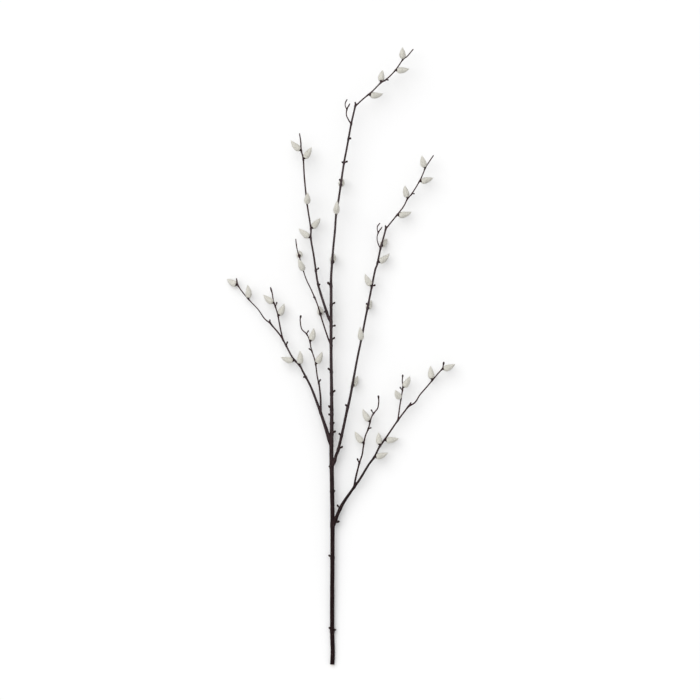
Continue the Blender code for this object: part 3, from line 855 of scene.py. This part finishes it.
@dataclass
class Wood:
    """The stem and its shoots in bark, grown together, with the cut face at the foot."""

    plan: Plan
    bark: bpy.types.Material
    cut: bpy.types.Material
    step: float = 2.0
    # Nodes are fuller by this much of radius, in millimetres, over this length.
    node_swell: float = 0.55
    node_width: float = 2.4
    # A ring scar is a groove between two ridges; its swell is a share of the radius.
    ring_swell: float = 0.1
    ring_width: float = 0.6
    ring_spread: float = 1.2
    row_step: float = 0.5
    rows: int = 5
    # A side shoot starts in a collar, fuller by this share of its radius.
    collar_swell: float = 0.3
    collar_length: float = 5.0
    # Height of the lengthwise ridges as a share of the radius, how close they are and how fine,
    # and their length.
    ridge: float = 0.18
    ridge_closeness: float = 1.7
    ridge_detail: float = 2.0
    ridge_length: float = 12.0
    end_turns: tuple[float, ...] = (30, 60, 85)
    # How many sides a shoot has if its thickest place is over a diameter.
    sides: tuple[tuple[float, int], ...] = ((5.5, 22), (2.8, 16), (0.0, 12))
    # Inner corners sharper than this angle are smoothed, with this many rows of points round
    # them, this many times.
    corner_angle: float = 20.0
    corner_rows: int = 2
    smoothings: int = 4
    # The cut face lies this close to the foot, and faces down the stem this squarely.
    cut_depth: float = 0.5
    cut_facing: float = 0.9
    recipe: Recipe = field(init=False)

    def __post_init__(self) -> None:
        """Build the tree that runs bark along a shoot."""
        self.recipe = self.bark_recipe()

    def bark_recipe(self) -> Recipe:
        """Build the tree that sweeps a shoot and raises the ridges along its bark.

        Returns:
            The tree.
        """
        recipe = Recipe("bark_sweep", {
            "Sides": "Int", "Ridge Height": "Float", "Ridge Length": "Float",
            "Pattern Start": "Float"})
        given = recipe.given
        line = recipe.add("GeometryNodeMeshToCurve", {"Mesh": given["Geometry"]})
        measured = recipe.add("GeometryNodeCaptureAttribute")
        measured.capture_items.new("FLOAT", "Run")
        recipe.feed(measured, {
            "Geometry": line, "Run": recipe.add("GeometryNodeSplineParameter").outputs["Length"]})
        ring = recipe.add(
            "GeometryNodeCurvePrimitiveCircle", {"Resolution": given["Sides"], "Radius": 1.0})
        marked = recipe.add("GeometryNodeCaptureAttribute")
        marked.capture_items.new("VECTOR", "Around")
        recipe.feed(marked, {"Geometry": ring, "Around": recipe.add("GeometryNodeInputPosition")})
        radius = recipe.add(
            "GeometryNodeInputNamedAttribute", {"Name": RADIUS}, data_type="FLOAT")
        swept = recipe.add(
            "GeometryNodeCurveToMesh",
            {"Curve": measured, "Profile Curve": marked, "Scale": radius, "Fill Caps": True})
        normal = recipe.add("GeometryNodeInputNormal")
        along = recipe.add(
            "ShaderNodeMath", {0: measured.outputs["Run"], 1: given["Ridge Length"]},
            operation="DIVIDE")
        noise = recipe.add(
            "ShaderNodeTexNoise",
            {"Vector": normal, "W": along, "Scale": self.ridge_closeness,
             "Detail": self.ridge_detail},
            noise_dimensions="4D")
        even = recipe.add("ShaderNodeMath", {0: noise, 1: 0.5}, operation="SUBTRACT")
        share = recipe.add(
            "ShaderNodeMath", {0: even, 1: given["Ridge Height"]}, operation="MULTIPLY")
        raised = recipe.add("ShaderNodeMath", {0: share, 1: radius}, operation="MULTIPLY")
        offset = recipe.add(
            "ShaderNodeVectorMath", {0: normal, "Scale": raised}, operation="SCALE")
        shaped = recipe.add("GeometryNodeSetPosition", {"Geometry": swept, "Offset": offset})
        around = recipe.add(
            "ShaderNodeVectorMath", {0: marked.outputs["Around"], "Scale": radius},
            operation="SCALE")
        across = recipe.add("ShaderNodeSeparateXYZ", {"Vector": around}).outputs
        onward = recipe.add(
            "ShaderNodeMath", {0: measured.outputs["Run"], 1: given["Pattern Start"]},
            operation="ADD")
        place = recipe.add(
            "ShaderNodeCombineXYZ", {"X": across["X"], "Y": onward, "Z": across["Y"]})
        known = recipe.add(
            "GeometryNodeStoreNamedAttribute",
            {"Geometry": shaped, "Name": BARK_PLACE, "Value": place},
            data_type="FLOAT_VECTOR", domain="POINT")
        recipe.end(known)
        return recipe

    def nodes_of(self, shoot: Shoot) -> list[float]:
        """Return how far up a shoot's buds, catkins and side shoots are."""
        grown = [item.at for item in (*SPURS, *CATKINS) if item.shoot == shoot.name]
        return grown + [child.leaves_at for child in SHOOTS if child.parent == shoot.name]

    def radius(self, shoot: Shoot, y: float) -> float:
        """Return a shoot's radius at one place, with its nodes, its collar and the ring scars.

        Args:
            shoot: The shoot.
            y: Millimetres up from the cut end.

        Returns:
            The radius in millimetres.
        """
        plain = self.plan.at(shoot.name, y).w / 2
        node = self.node_swell * max(
            (bump_at(y - node, self.node_width) for node in self.nodes_of(shoot)), default=0.0)
        if shoot.parent:
            start = self.plan.curves[shoot.name][0].y
            return node + plain * (1 + self.collar_swell * bump_at(y - start, self.collar_length))
        factor = 1.0
        for ring in STEM_RINGS:
            ridges = abs(y - ring) - self.ring_spread
            factor += self.ring_swell * bump_at(ridges, self.ring_width)
            factor -= self.ring_swell * bump_at(y - ring, self.ring_width)
        return node + plain * factor

    def places(self, shoot: Shoot) -> list[float]:
        """Space a shoot's rings, closer together at the stem's ring scars.

        Args:
            shoot: The shoot.

        Returns:
            How far up each ring is, in millimetres.
        """
        curve = self.plan.curves[shoot.name]
        low, high = curve[0].y, curve[-1].y
        count = math.ceil((high - low) / self.step)
        even = [low + (high - low) * number / count for number in range(count + 1)]
        if shoot.parent:
            return even
        fine = [ring + self.row_step * row
                for ring in STEM_RINGS for row in range(-self.rows, self.rows + 1)]
        reach = self.row_step * (self.rows + 1)
        clear = [y for y in even if all(abs(y - ring) > reach for ring in STEM_RINGS)]
        return sorted(clear + fine)

    def guide(self, shoot: Shoot) -> bpy.types.Object:
        """Draw a shoot's middle line with its radii; every end but the cut one is rounded.

        Args:
            shoot: The shoot.

        Returns:
            The line, whose points know the radius there.
        """
        points = []
        radii = []
        for y in self.places(shoot):
            points.append(in_model(*self.plan.at(shoot.name, y).xyz))
            radii.append(self.radius(shoot, y) * MM)
        onward = (points[-1] - points[-2]).normalized()
        end, end_radius = points[-1], radii[-1]
        for turn in map(math.radians, self.end_turns):
            points.append(end + onward * end_radius * math.sin(turn))
            radii.append(end_radius * math.cos(turn))
        mesh = bpy.data.meshes.new(shoot.name)
        mesh.from_pydata(points, [(n, n + 1) for n in range(len(points) - 1)], [])
        mesh.attributes.new(RADIUS, "FLOAT", "POINT").data.foreach_set("value", radii)
        return plain_object(f"{shoot.name}_line", mesh)

    def grow(self, shoot: Shoot) -> bpy.types.Object:
        """Grow one shoot's bark.

        Args:
            shoot: The shoot.

        Returns:
            Its closed tube.
        """
        guide = self.guide(shoot)
        widest = max(point[3] for point in shoot.route)
        mesh = self.recipe.run(guide, {
            "Sides": next(count for diameter, count in self.sides if widest > diameter),
            "Ridge Height": self.ridge, "Ridge Length": self.ridge_length * MM,
            "Pattern Start": guide.data.vertices[0].co.y, "Material": self.bark})
        bpy.data.objects.remove(guide)
        return plain_object(f"{shoot.name}_tube", mesh)

    def join(self, tubes: list[bpy.types.Object]) -> bpy.types.Object:
        """Grow the tubes together in one closed body.

        Args:
            tubes: The stem's tube, then the others.

        Returns:
            The wood.
        """
        stem, *others = tubes
        holder = bpy.data.collections.new("shoots")
        bpy.context.scene.collection.children.link(holder)
        for tube in others:
            bpy.context.scene.collection.objects.unlink(tube)
            holder.objects.link(tube)
        union = stem.modifiers.new("grown_together", "BOOLEAN")
        union.operation = "UNION"
        union.operand_type = "COLLECTION"
        union.collection = holder
        union.solver = "MANIFOLD"
        mesh = mesh_result(stem)
        for tube in tubes:
            bpy.data.objects.remove(tube)
        bpy.data.collections.remove(holder)
        return plain_object("bark_and_wood", mesh)

    def soften_forks(self, wood: bpy.types.Object) -> None:
        """Cut up the large faces where shoots join and round the sharp inner corners there.

        Args:
            wood: The wood.
        """
        bm = bmesh.new()
        bm.from_mesh(wood.data)
        bmesh.ops.remove_doubles(bm, verts=bm.verts, dist=WELD)
        idle = [vertex for vertex in bm.verts if len(vertex.link_edges) == 2]
        bmesh.ops.dissolve_verts(bm, verts=idle)
        joins = [face for face in bm.faces if len(face.verts) > 4]
        bmesh.ops.triangulate(bm, faces=joins, ngon_method="BEAUTY")
        sharpest = -math.radians(self.corner_angle)
        corners = {
            vertex for edge in bm.edges
            if edge.is_manifold and edge.calc_face_angle_signed() < sharpest
            for vertex in edge.verts}
        for _ in range(self.corner_rows):
            corners |= {edge.other_vert(vertex) for vertex in corners for edge in vertex.link_edges}
        for _ in range(self.smoothings):
            bmesh.ops.smooth_vert(
                bm, verts=list(corners), factor=0.5, use_axis_x=True, use_axis_y=True,
                use_axis_z=True)
        bm.to_mesh(wood.data)
        bm.free()

    def dress_cut(self, wood: bpy.types.Object) -> None:
        """Give the cut face at the foot its pale wood.

        Args:
            wood: The wood.
        """
        wood.data.materials.append(self.cut)
        foot = in_model(0, self.cut_depth, 0).y
        for face in wood.data.polygons:
            if face.normal.y < -self.cut_facing and face.center.y < foot:
                face.material_index = 1
                face.use_smooth = False

    def build(self) -> bpy.types.Object:
        """Make the wood and dress it.

        Returns:
            The wood.
        """
        wood = self.join([self.grow(shoot) for shoot in SHOOTS])
        self.soften_forks(wood)
        self.dress_cut(wood)
        dress(wood, "wood")
        return wood


@dataclass(frozen=True)
class Copy:
    """Where one copy of a small shape goes: its place, its two main directions and its size."""

    place: Vector
    outwards: Vector
    onward: Vector
    size: Vector = Vector((1.0, 1.0, 1.0))


class Copies:
    """Sets copies of small shapes that grow out of the wood."""

    attributes = ("outwards", "onward", "size")

    def __init__(self) -> None:
        """Build the tree that sets a copy on each point, turned and sized by its attributes."""
        self.recipe = Recipe("copies", {"Shape": "Object"})
        given, add = self.recipe.given, self.recipe.add
        outwards, onward, size = (
            add("GeometryNodeInputNamedAttribute", {"Name": name}, data_type="FLOAT_VECTOR")
            for name in self.attributes)
        turned = add(
            "FunctionNodeAxesToRotation", {"Primary Axis": outwards, "Secondary Axis": onward},
            primary_axis="Z", secondary_axis="Y")
        shape = add("GeometryNodeObjectInfo", {"Object": given["Shape"]}).outputs["Geometry"]
        points = add("GeometryNodeMeshToPoints", {"Mesh": given["Geometry"]})
        placed = add(
            "GeometryNodeInstanceOnPoints",
            {"Points": points, "Instance": shape, "Rotation": turned, "Scale": size})
        self.recipe.end(placed)

    def set(
        self, name: str, shape: bpy.types.Object, finish: bpy.types.Material, copies: list[Copy],
    ) -> None:
        """Set the copies as one finished piece of the wood and remove the shape.

        Args:
            name: The piece's name.
            shape: The small shape, along +Z.
            finish: Its material.
            copies: Where the copies go.
        """
        mesh = bpy.data.meshes.new(f"{name}_places")
        mesh.from_pydata([copy.place for copy in copies], [], [])
        for key in self.attributes:
            numbers = [number for copy in copies for number in getattr(copy, key)]
            mesh.attributes.new(key, "FLOAT_VECTOR", "POINT").data.foreach_set("vector", numbers)
        guide = plain_object(f"{name}_places", mesh)
        made = self.recipe.run(guide, {"Shape": shape, "Material": finish})
        bpy.data.objects.remove(shape)
        bpy.data.objects.remove(guide)
        dress(plain_object(name, made), "wood")


def turned_shape(
    name: str, rings: Sequence[tuple[float, float]], segments: int,
    bend: Callable[[int, float, Vector], Vector],
) -> bpy.types.Object:
    """Return a closed shape turned on a lathe along +Z and then bent.

    Args:
        name: The shape's name.
        rings: Each ring's height and radius, from the foot round to the last one.
        segments: How many points each ring has.
        bend: Takes a ring's number, the angle and the point, and returns the point's last place.

    Returns:
        The shape.
    """
    bm = bmesh.new()
    loops = []
    for number, (height, radius) in enumerate(rings):
        loop = []
        for step in range(segments):
            around = 2 * math.pi * step / segments
            point = Vector((math.cos(around) * radius, math.sin(around) * radius, height))
            loop.append(bm.verts.new(bend(number, around, point)))
        loops.append(loop)
    for lower, upper in zip(loops, loops[1:]):
        for step in range(segments):
            after = (step + 1) % segments
            bm.faces.new((lower[step], lower[after], upper[after], upper[step]))
    bm.faces.new(loops[0][::-1])
    bm.faces.new(loops[-1])
    bmesh.ops.recalc_face_normals(bm, faces=bm.faces)
    mesh = bpy.data.meshes.new(name)
    bm.to_mesh(mesh)
    bm.free()
    return plain_object(name, mesh)


@dataclass
class Buds:
    """The dormant buds, round-headed on short stalks, each over the scar of its fallen leaf."""

    plan: Plan
    copies: Copies
    scale: bpy.types.Material
    cork: bpy.types.Material
    segments: int = 14
    # Height and radius of each ring, as shares of a bud's reach and width.
    rings: tuple[tuple[float, float], ...] = (
        (0.0, 0.47), (0.22, 0.43), (0.38, 0.39), (0.48, 0.39), (0.55, 0.46), (0.62, 0.54),
        (0.70, 0.59), (0.78, 0.59), (0.85, 0.53), (0.91, 0.41), (0.96, 0.26), (0.99, 0.13))
    stalk_rings: int = 4
    lip: float = 0.05
    curl: float = 0.3
    curl_from: float = 0.5
    scar: tuple[float, float, float] = (2.3, 1.3, 0.9)
    scar_rings: tuple[tuple[float, float], ...] = (
        (-0.4, 0.42), (0.0, 0.5), (0.3, 0.44), (0.42, 0.25))
    scar_segments: int = 12
    scar_sag: float = 0.6
    scar_drop: float = 2.1
    # A scar lies this share of the radius out, and is no wider than this share of the shoot.
    scar_seat: float = 1.04
    scar_share: float = 0.7

    def bend_bud(self, number: int, around: float, point: Vector) -> Vector:
        """Bend a bud: its single scale overlaps itself, and its tip curls in.

        Args:
            number: The ring's number, from the foot.
            around: The angle around it.
            point: The point before it is bent.

        Returns:
            The point's last place.
        """
        overlap = 1 + self.lip * math.cos(around) if number >= self.stalk_rings else 1.0
        curl = self.curl * max(point.z - self.curl_from, 0.0) ** 2
        return Vector((point.x * overlap, point.y * overlap + curl, point.z))

    def bend_scar(self, number: int, around: float, point: Vector) -> Vector:
        """Bend a leaf scar, whatever the ring: a half moon that sags away from its bud."""
        return Vector((point.x, point.y - self.scar_sag * point.x ** 2, point.z))

    def bud_copy(self, spur: Spur) -> Copy:
        """Place a dormant bud.

        Args:
            spur: The bud.

        Returns:
            Where it goes.
        """
        return Copy(
            in_model(*self.plan.at(spur.shoot, spur.at).xyz), spur.outwards,
            self.plan.onward(spur.shoot, spur.at),
            Vector((spur.width, spur.width, spur.reach)) * MM)

    def scar_copy(self, grown: Spur | Catkin) -> Copy:
        """Place the leaf scar under a bud or a catkin, on the shoot's skin.

        Args:
            grown: The bud or the catkin.

        Returns:
            Where it goes.
        """
        place = self.plan.at(grown.shoot, grown.at)
        onward = self.plan.onward(grown.shoot, grown.at)
        side = (grown.outwards - onward * grown.outwards.dot(onward)).normalized()
        middle = in_model(*place.xyz) + side * (place.w / 2 * self.scar_seat) * MM
        return Copy(
            middle - onward * self.scar_drop * MM, side, onward,
            Vector((min(self.scar[0], place.w * self.scar_share), *self.scar[1:])) * MM)

    def build(self) -> None:
        """Make the buds and the leaf scars and dress them."""
        bud = turned_shape("bud", self.rings, self.segments, self.bend_bud)
        self.copies.set("dormant_buds", bud, self.scale, [self.bud_copy(spur) for spur in SPURS])
        scar = turned_shape("scar", self.scar_rings, self.scar_segments, self.bend_scar)
        self.copies.set("leaf_scars", scar, self.cork, [
            self.scar_copy(grown) for grown in (*SPURS, *CATKINS)])


@dataclass
class Cups:
    """The opened bud scales: a short stalk that widens to a lobed cup round each catkin's foot."""

    plan: Plan
    copies: Copies
    scale: bpy.types.Material
    segments: int = 24
    lobes: int = 3
    standoff: float = 2.3
    # Height and radius of each ring, up the outside to the rim and down the inside.
    rings: tuple[tuple[float, float], ...] = (
        (-3.8, 1.5), (-2.6, 1.6), (-1.9, 1.75), (-1.3, 2.1), (-0.7, 2.55), (0.1, 2.95),
        (0.9, 3.2), (0.9, 2.95), (0.1, 2.65), (-0.5, 1.4))
    rim: tuple[int, ...] = (6, 7)
    lobe_height: float = 0.9
    # Degrees by which each cup's lobes are turned on from the one before.
    turn: float = 140.0

    def bend_cup(self, number: int, around: float, point: Vector) -> Vector:
        """Bend a cup: its rim stands up in lobes."""
        lobe = self.lobe_height * math.cos(self.lobes * around) if number in self.rim else 0.0
        return Vector((point.x, point.y, point.z + lobe)) * MM

    def seat(self, catkin: Catkin) -> Vector:
        """Return where a catkin's foot is, in metres."""
        place = self.plan.at(catkin.shoot, catkin.at)
        return in_model(*place.xyz) + catkin.outwards * (place.w / 2 + self.standoff) * MM

    def build(self) -> None:
        """Make the cups and dress them."""
        cup = turned_shape("cup", self.rings, self.segments, self.bend_cup)
        self.copies.set("bud_cups", cup, self.scale, [
            Copy(self.seat(catkin), catkin.outwards, heading(self.turn * number, 0))
            for number, catkin in enumerate(CATKINS, 1)])


@dataclass
class Lenticels:
    """Small corky pores, scattered over the bark and longer along the shoot."""

    wood: bpy.types.Object
    cork: bpy.types.Material
    spacing: float = 5.0
    per_square_metre: float = 40000.0
    width: float = 0.5
    length: float = 1.3
    height: float = 0.12
    variation: tuple[float, float] = (0.6, 1.25)
    clear_end: float = 2.0
    seed: int = 11

    def recipe(self) -> Recipe:
        """Build the tree that scatters pores on the bark and presses them flat to it.

        Returns:
            The tree.
        """
        recipe = Recipe("lenticels", {
            "Spacing": "Float", "Most Per Square Metre": "Float", "Width": "Float",
            "Length": "Float", "Height": "Float", "Seed": "Int", "Lowest": "Float"})
        given = recipe.given
        place = recipe.add(
            "ShaderNodeSeparateXYZ", {"Vector": recipe.add("GeometryNodeInputPosition")})
        above = recipe.add(
            "FunctionNodeCompare", {"A": place.outputs["Y"], "B": given["Lowest"]},
            operation="GREATER_THAN")
        points = recipe.add(
            "GeometryNodeDistributePointsOnFaces",
            {"Mesh": given["Geometry"], "Selection": above, "Distance Min": given["Spacing"],
             "Density Max": given["Most Per Square Metre"], "Seed": given["Seed"]},
            distribute_method="POISSON")
        lying = recipe.add(
            "FunctionNodeAxesToRotation",
            {"Primary Axis": points.outputs["Normal"], "Secondary Axis": (0.0, 1.0, 0.0)},
            primary_axis="Z", secondary_axis="Y")
        size = recipe.add(
            "ShaderNodeCombineXYZ",
            {"X": given["Width"], "Y": given["Length"], "Z": given["Height"]})
        least, most = self.variation
        vary = recipe.add(
            "FunctionNodeRandomValue", {"Min": least, "Max": most, "Seed": given["Seed"]},
            data_type="FLOAT")
        sized = recipe.add("ShaderNodeVectorMath", {0: size, "Scale": vary}, operation="SCALE")
        pore = recipe.add("GeometryNodeMeshUVSphere", {"Segments": 8, "Rings": 5, "Radius": 0.5})
        placed = recipe.add(
            "GeometryNodeInstanceOnPoints",
            {"Points": points, "Instance": pore, "Rotation": lying, "Scale": sized})
        recipe.end(placed)
        return recipe

    def build(self) -> None:
        """Make the pores and dress them."""
        mesh = self.recipe().run(self.wood, {
            "Spacing": self.spacing * MM, "Most Per Square Metre": self.per_square_metre,
            "Width": self.width * MM, "Length": self.length * MM, "Height": 2 * self.height * MM,
            "Seed": self.seed, "Lowest": in_model(0, self.clear_end, 0).y,
            "Material": self.cork})
        dress(plain_object("lenticels", mesh), "wood")


@dataclass
class Catkins:
    """The catkins: a bent, blunt drop of packed wool in tufts, and its coat of silky hairs.

    The real hairs are much finer and far more; these are as coarse as they need to be to show.
    """

    cups: Cups
    wool: bpy.types.Material
    silk: bpy.types.Material
    girth: float = 11.3
    foot_power: float = 0.34
    tip_power: float = 0.9
    segments: int = 28
    rings: int = 22
    steps: int = 48
    # Tufts stand in a slow spiral: their height, how many around and along, and its twist.
    tuft_height: float = 0.16
    tufts_around: int = 5
    tufts_along: float = 6.5
    tuft_twist: float = 1.3
    hair_length: float = 1.9
    hair_width: float = 0.17
    hair_lift: float = 0.24
    hair_stray: float = 0.16
    hair_variation: tuple[float, float] = (0.6, 1.15)
    hairs_per_square_mm: float = 4.2
    recipe: Recipe = field(init=False)

    def __post_init__(self) -> None:
        """Build the tree that grows the hairs."""
        self.recipe = self.hair_recipe()

    def hair_recipe(self) -> Recipe:
        """Build the tree that lays slim hairs over the wool, root down and tip forward.

        Returns:
            The tree.
        """
        recipe = Recipe("silky_hairs", {
            "Hair Length": "Float", "Hair Width": "Float", "Lift": "Float",
            "Hairs Per Square Metre": "Float", "Seed": "Int"})
        given = recipe.given
        points = recipe.add(
            "GeometryNodeDistributePointsOnFaces",
            {"Mesh": given["Geometry"], "Density": given["Hairs Per Square Metre"],
             "Seed": given["Seed"]}, distribute_method="RANDOM")
        normal = points.outputs["Normal"]
        forward = recipe.add(
            "GeometryNodeInputNamedAttribute", {"Name": TOWARDS_TIP}, data_type="FLOAT_VECTOR")
        inwards = recipe.add(
            "ShaderNodeVectorMath", {0: forward, 1: normal}, operation="PROJECT")
        flat = recipe.add("ShaderNodeVectorMath", {0: forward, 1: inwards}, operation="SUBTRACT")
        laid = recipe.add("ShaderNodeVectorMath", {0: flat}, operation="NORMALIZE")
        lifted = recipe.add(
            "ShaderNodeVectorMath", {0: normal, "Scale": given["Lift"]}, operation="SCALE")
        leaning = recipe.add("ShaderNodeVectorMath", {0: laid, 1: lifted}, operation="ADD")
        stray = recipe.add(
            "FunctionNodeRandomValue",
            {"Min": (-self.hair_stray,) * 3, "Max": (self.hair_stray,) * 3,
             "Seed": given["Seed"]}, data_type="FLOAT_VECTOR")
        combed = recipe.add("ShaderNodeVectorMath", {0: leaning, 1: stray}, operation="ADD")
        turned = recipe.add("FunctionNodeAlignRotationToVector", {"Vector": combed}, axis="Z")
        least, most = self.hair_variation
        vary = recipe.add(
            "FunctionNodeRandomValue", {"Min": least, "Max": most, "Seed": given["Seed"]},
            data_type="FLOAT")
        hair = recipe.add(
            "GeometryNodeMeshCone",
            {"Vertices": 3, "Side Segments": 1, "Radius Top": 0.0,
             "Radius Bottom": given["Hair Width"], "Depth": given["Hair Length"]},
            fill_type="NGON")
        placed = recipe.add(
            "GeometryNodeInstanceOnPoints",
            {"Points": points, "Instance": hair, "Rotation": turned, "Scale": vary})
        recipe.end(placed)
        return recipe

    def radius(self, share: float) -> float:
        """Return a catkin's radius at a share of its length: plump at the foot, slim at the tip.

        Args:
            share: The share of its length, from the foot.

        Returns:
            The radius in millimetres.
        """
        widest = self.foot_power / (self.foot_power + self.tip_power)
        foot = (share / widest) ** self.foot_power
        tip = ((1 - share) / (1 - widest)) ** self.tip_power
        return self.girth / 2 * foot * tip

    def line(self, catkin: Catkin) -> list[tuple[Vector, Vector]]:
        """Draw a catkin's bent middle line.

        Args:
            catkin: The catkin.

        Returns:
            Places in metres and the direction at each.
        """
        place = self.cups.seat(catkin)
        line = []
        for step in range(self.steps + 1):
            direction = catkin.way(step / self.steps)
            line.append((place.copy(), direction))
            place += direction * catkin.length * MM / self.steps
        return line

    def tuft(self, number: int, share: float, around: float) -> float:
        """Return how far a tuft raises the wool at one place.

        Args:
            number: The catkin's number, which turns its tufts.
            share: The share of its length, from the foot.
            around: The angle around its middle line.

        Returns:
            The height in millimetres.
        """
        turned = around + self.tuft_twist * share + number
        swell = math.cos(self.tufts_around * turned) * math.cos(self.tufts_along * math.pi * share)
        return self.tuft_height * swell * math.sin(math.pi * share)

    def faces(self) -> list[tuple[int, ...]]:
        """Close a woolly body: a fan at the foot, rows of four-sided faces, a fan at the tip.

        Returns:
            Each face, as the numbers of its points.
        """
        loops = [
            range(1 + ring * self.segments, 1 + (ring + 1) * self.segments)
            for ring in range(self.rings - 1)]
        tip = loops[-1][-1] + 1
        faces = []
        for step in range(self.segments):
            after = (step + 1) % self.segments
            faces.append((0, loops[0][after], loops[0][step]))
            for lower, upper in zip(loops, loops[1:]):
                faces.append((lower[step], lower[after], upper[after], upper[step]))
            faces.append((loops[-1][step], loops[-1][after], tip))
        return faces

    def core(self, number: int, catkin: Catkin) -> bpy.types.Object:
        """Return a catkin's woolly body, raised in soft tufts.

        Args:
            number: The catkin's number.
            catkin: Its plan.

        Returns:
            The body, whose points know which way the tip is.
        """
        line = self.line(catkin)
        points = []
        forward = []
        for ring in range(self.rings + 1):
            share = (1 - math.cos(math.pi * ring / self.rings)) / 2
            place, direction = line[round(share * self.steps)]
            turn = direction.to_track_quat("Z", "Y")
            for step in range(self.segments if 0 < ring < self.rings else 1):
                around = 2 * math.pi * step / self.segments
                radius = self.radius(share) + self.tuft(number, share, around)
                across = Vector((math.cos(around), math.sin(around), 0)) * radius * MM
                point = place + turn @ across
                points.append((point.x, point.y, max(point.z, FLOOR_CLEARANCE)))
                forward.extend(direction)
        mesh = bpy.data.meshes.new("core")
        mesh.from_pydata(points, [], self.faces())
        mesh.attributes.new(TOWARDS_TIP, "FLOAT_VECTOR", "POINT").data.foreach_set(
            "vector", forward)
        mesh.shade_smooth()
        mesh.materials.append(self.wool)
        return plain_object(f"catkin_{number:02d}_wool", mesh)

    def build(self) -> None:
        """Make each catkin and dress it."""
        for number, catkin in enumerate(CATKINS, 1):
            core = self.core(number, catkin)
            hairs = self.recipe.run(core, {
                "Hair Length": self.hair_length * MM, "Hair Width": self.hair_width / 2 * MM,
                "Lift": self.hair_lift, "Hairs Per Square Metre": self.hairs_per_square_mm / MM ** 2,
                "Seed": number, "Material": self.silk})
            node = f"catkin_{number:02d}"
            dress(core, node)
            dress(plain_object(f"{node}_silk", hairs), node)


@dataclass
class Studio:
    """The pale floor, the soft light from the upper left and the camera straight above."""

    # The floor's side and how far the camera sees are in metres, the view in millimetres.
    floor_size: float = 40.0
    sight: float = 100.0
    view_centre: tuple[float, float] = (17.4, 12.9)
    view_width: float = 1309.0
    view_height: float = 20.0
    lens: float = 350.0
    sensor: float = 36.0
    sky: float = 0.66
    key: float = 1.68
    key_softness: float = 64.0
    key_from: tuple[float, float, float] = (-0.42, 0.5, 0.95)

    def floor(self) -> None:
        """Lay the floor."""
        bm = bmesh.new()
        bmesh.ops.create_grid(bm, x_segments=1, y_segments=1, size=self.floor_size / 2)
        mesh = bpy.data.meshes.new("floor")
        bm.to_mesh(mesh)
        bm.free()
        mesh.materials.append(BOARD.make())
        plain_object("floor", mesh)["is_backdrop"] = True

    def light(self) -> None:
        """Hang one broad key light and fill the room with even white light."""
        lamp = bpy.data.lights.new("key", "SUN")
        lamp.energy = self.key
        lamp.angle = math.radians(self.key_softness)
        key = bpy.data.objects.new("key", lamp)
        key.rotation_mode = "QUATERNION"
        key.rotation_quaternion = Vector(self.key_from).to_track_quat("Z", "Y")
        bpy.context.scene.collection.objects.link(key)
        world = bpy.data.worlds.new("room")
        world.use_nodes = True
        room = world.node_tree.nodes["Background"].inputs
        room["Color"].default_value = (1, 1, 1, 1)
        room["Strength"].default_value = self.sky
        bpy.context.scene.world = world

    def camera(self) -> None:
        """Set the camera straight above, with the cut end at the bottom of the picture."""
        data = bpy.data.cameras.new("camera")
        data.lens = self.lens
        data.sensor_width = self.sensor
        data.clip_end = self.sight
        camera = bpy.data.objects.new("camera", data)
        distance = self.view_width * self.lens / self.sensor
        x, y = self.view_centre
        camera.location = (x * MM, y * MM, (self.view_height + distance) * MM)
        bpy.context.scene.collection.objects.link(camera)
        bpy.context.scene.camera = camera

    def build(self) -> None:
        """Set up the floor, the light and the camera."""
        self.floor()
        self.light()
        self.camera()
        bpy.context.scene.view_settings.view_transform = "Standard"


def corners() -> list[list[float]]:
    """Return the lowest and the highest corner of the shown object."""
    return [list(corner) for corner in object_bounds()]


def main() -> None:
    """Build the spray's pieces in order."""
    logging.basicConfig(level=logging.INFO, format="%(name)s %(message)s")
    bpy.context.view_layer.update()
    Studio().build()
    plan = Plan()
    wood = Wood(plan, WillowBark().make(), CutWood().make()).build()
    scale = BUD_SCALE.make()
    Lenticels(wood, CORK.make()).build()
    copies = Copies()
    Buds(plan, copies, scale, SCAR_CORK.make()).build()
    cups = Cups(plan, copies, scale)
    cups.build()
    Catkins(cups, WOOL.make(), SILK.make()).build()


if __name__ == "__main__":
    main()
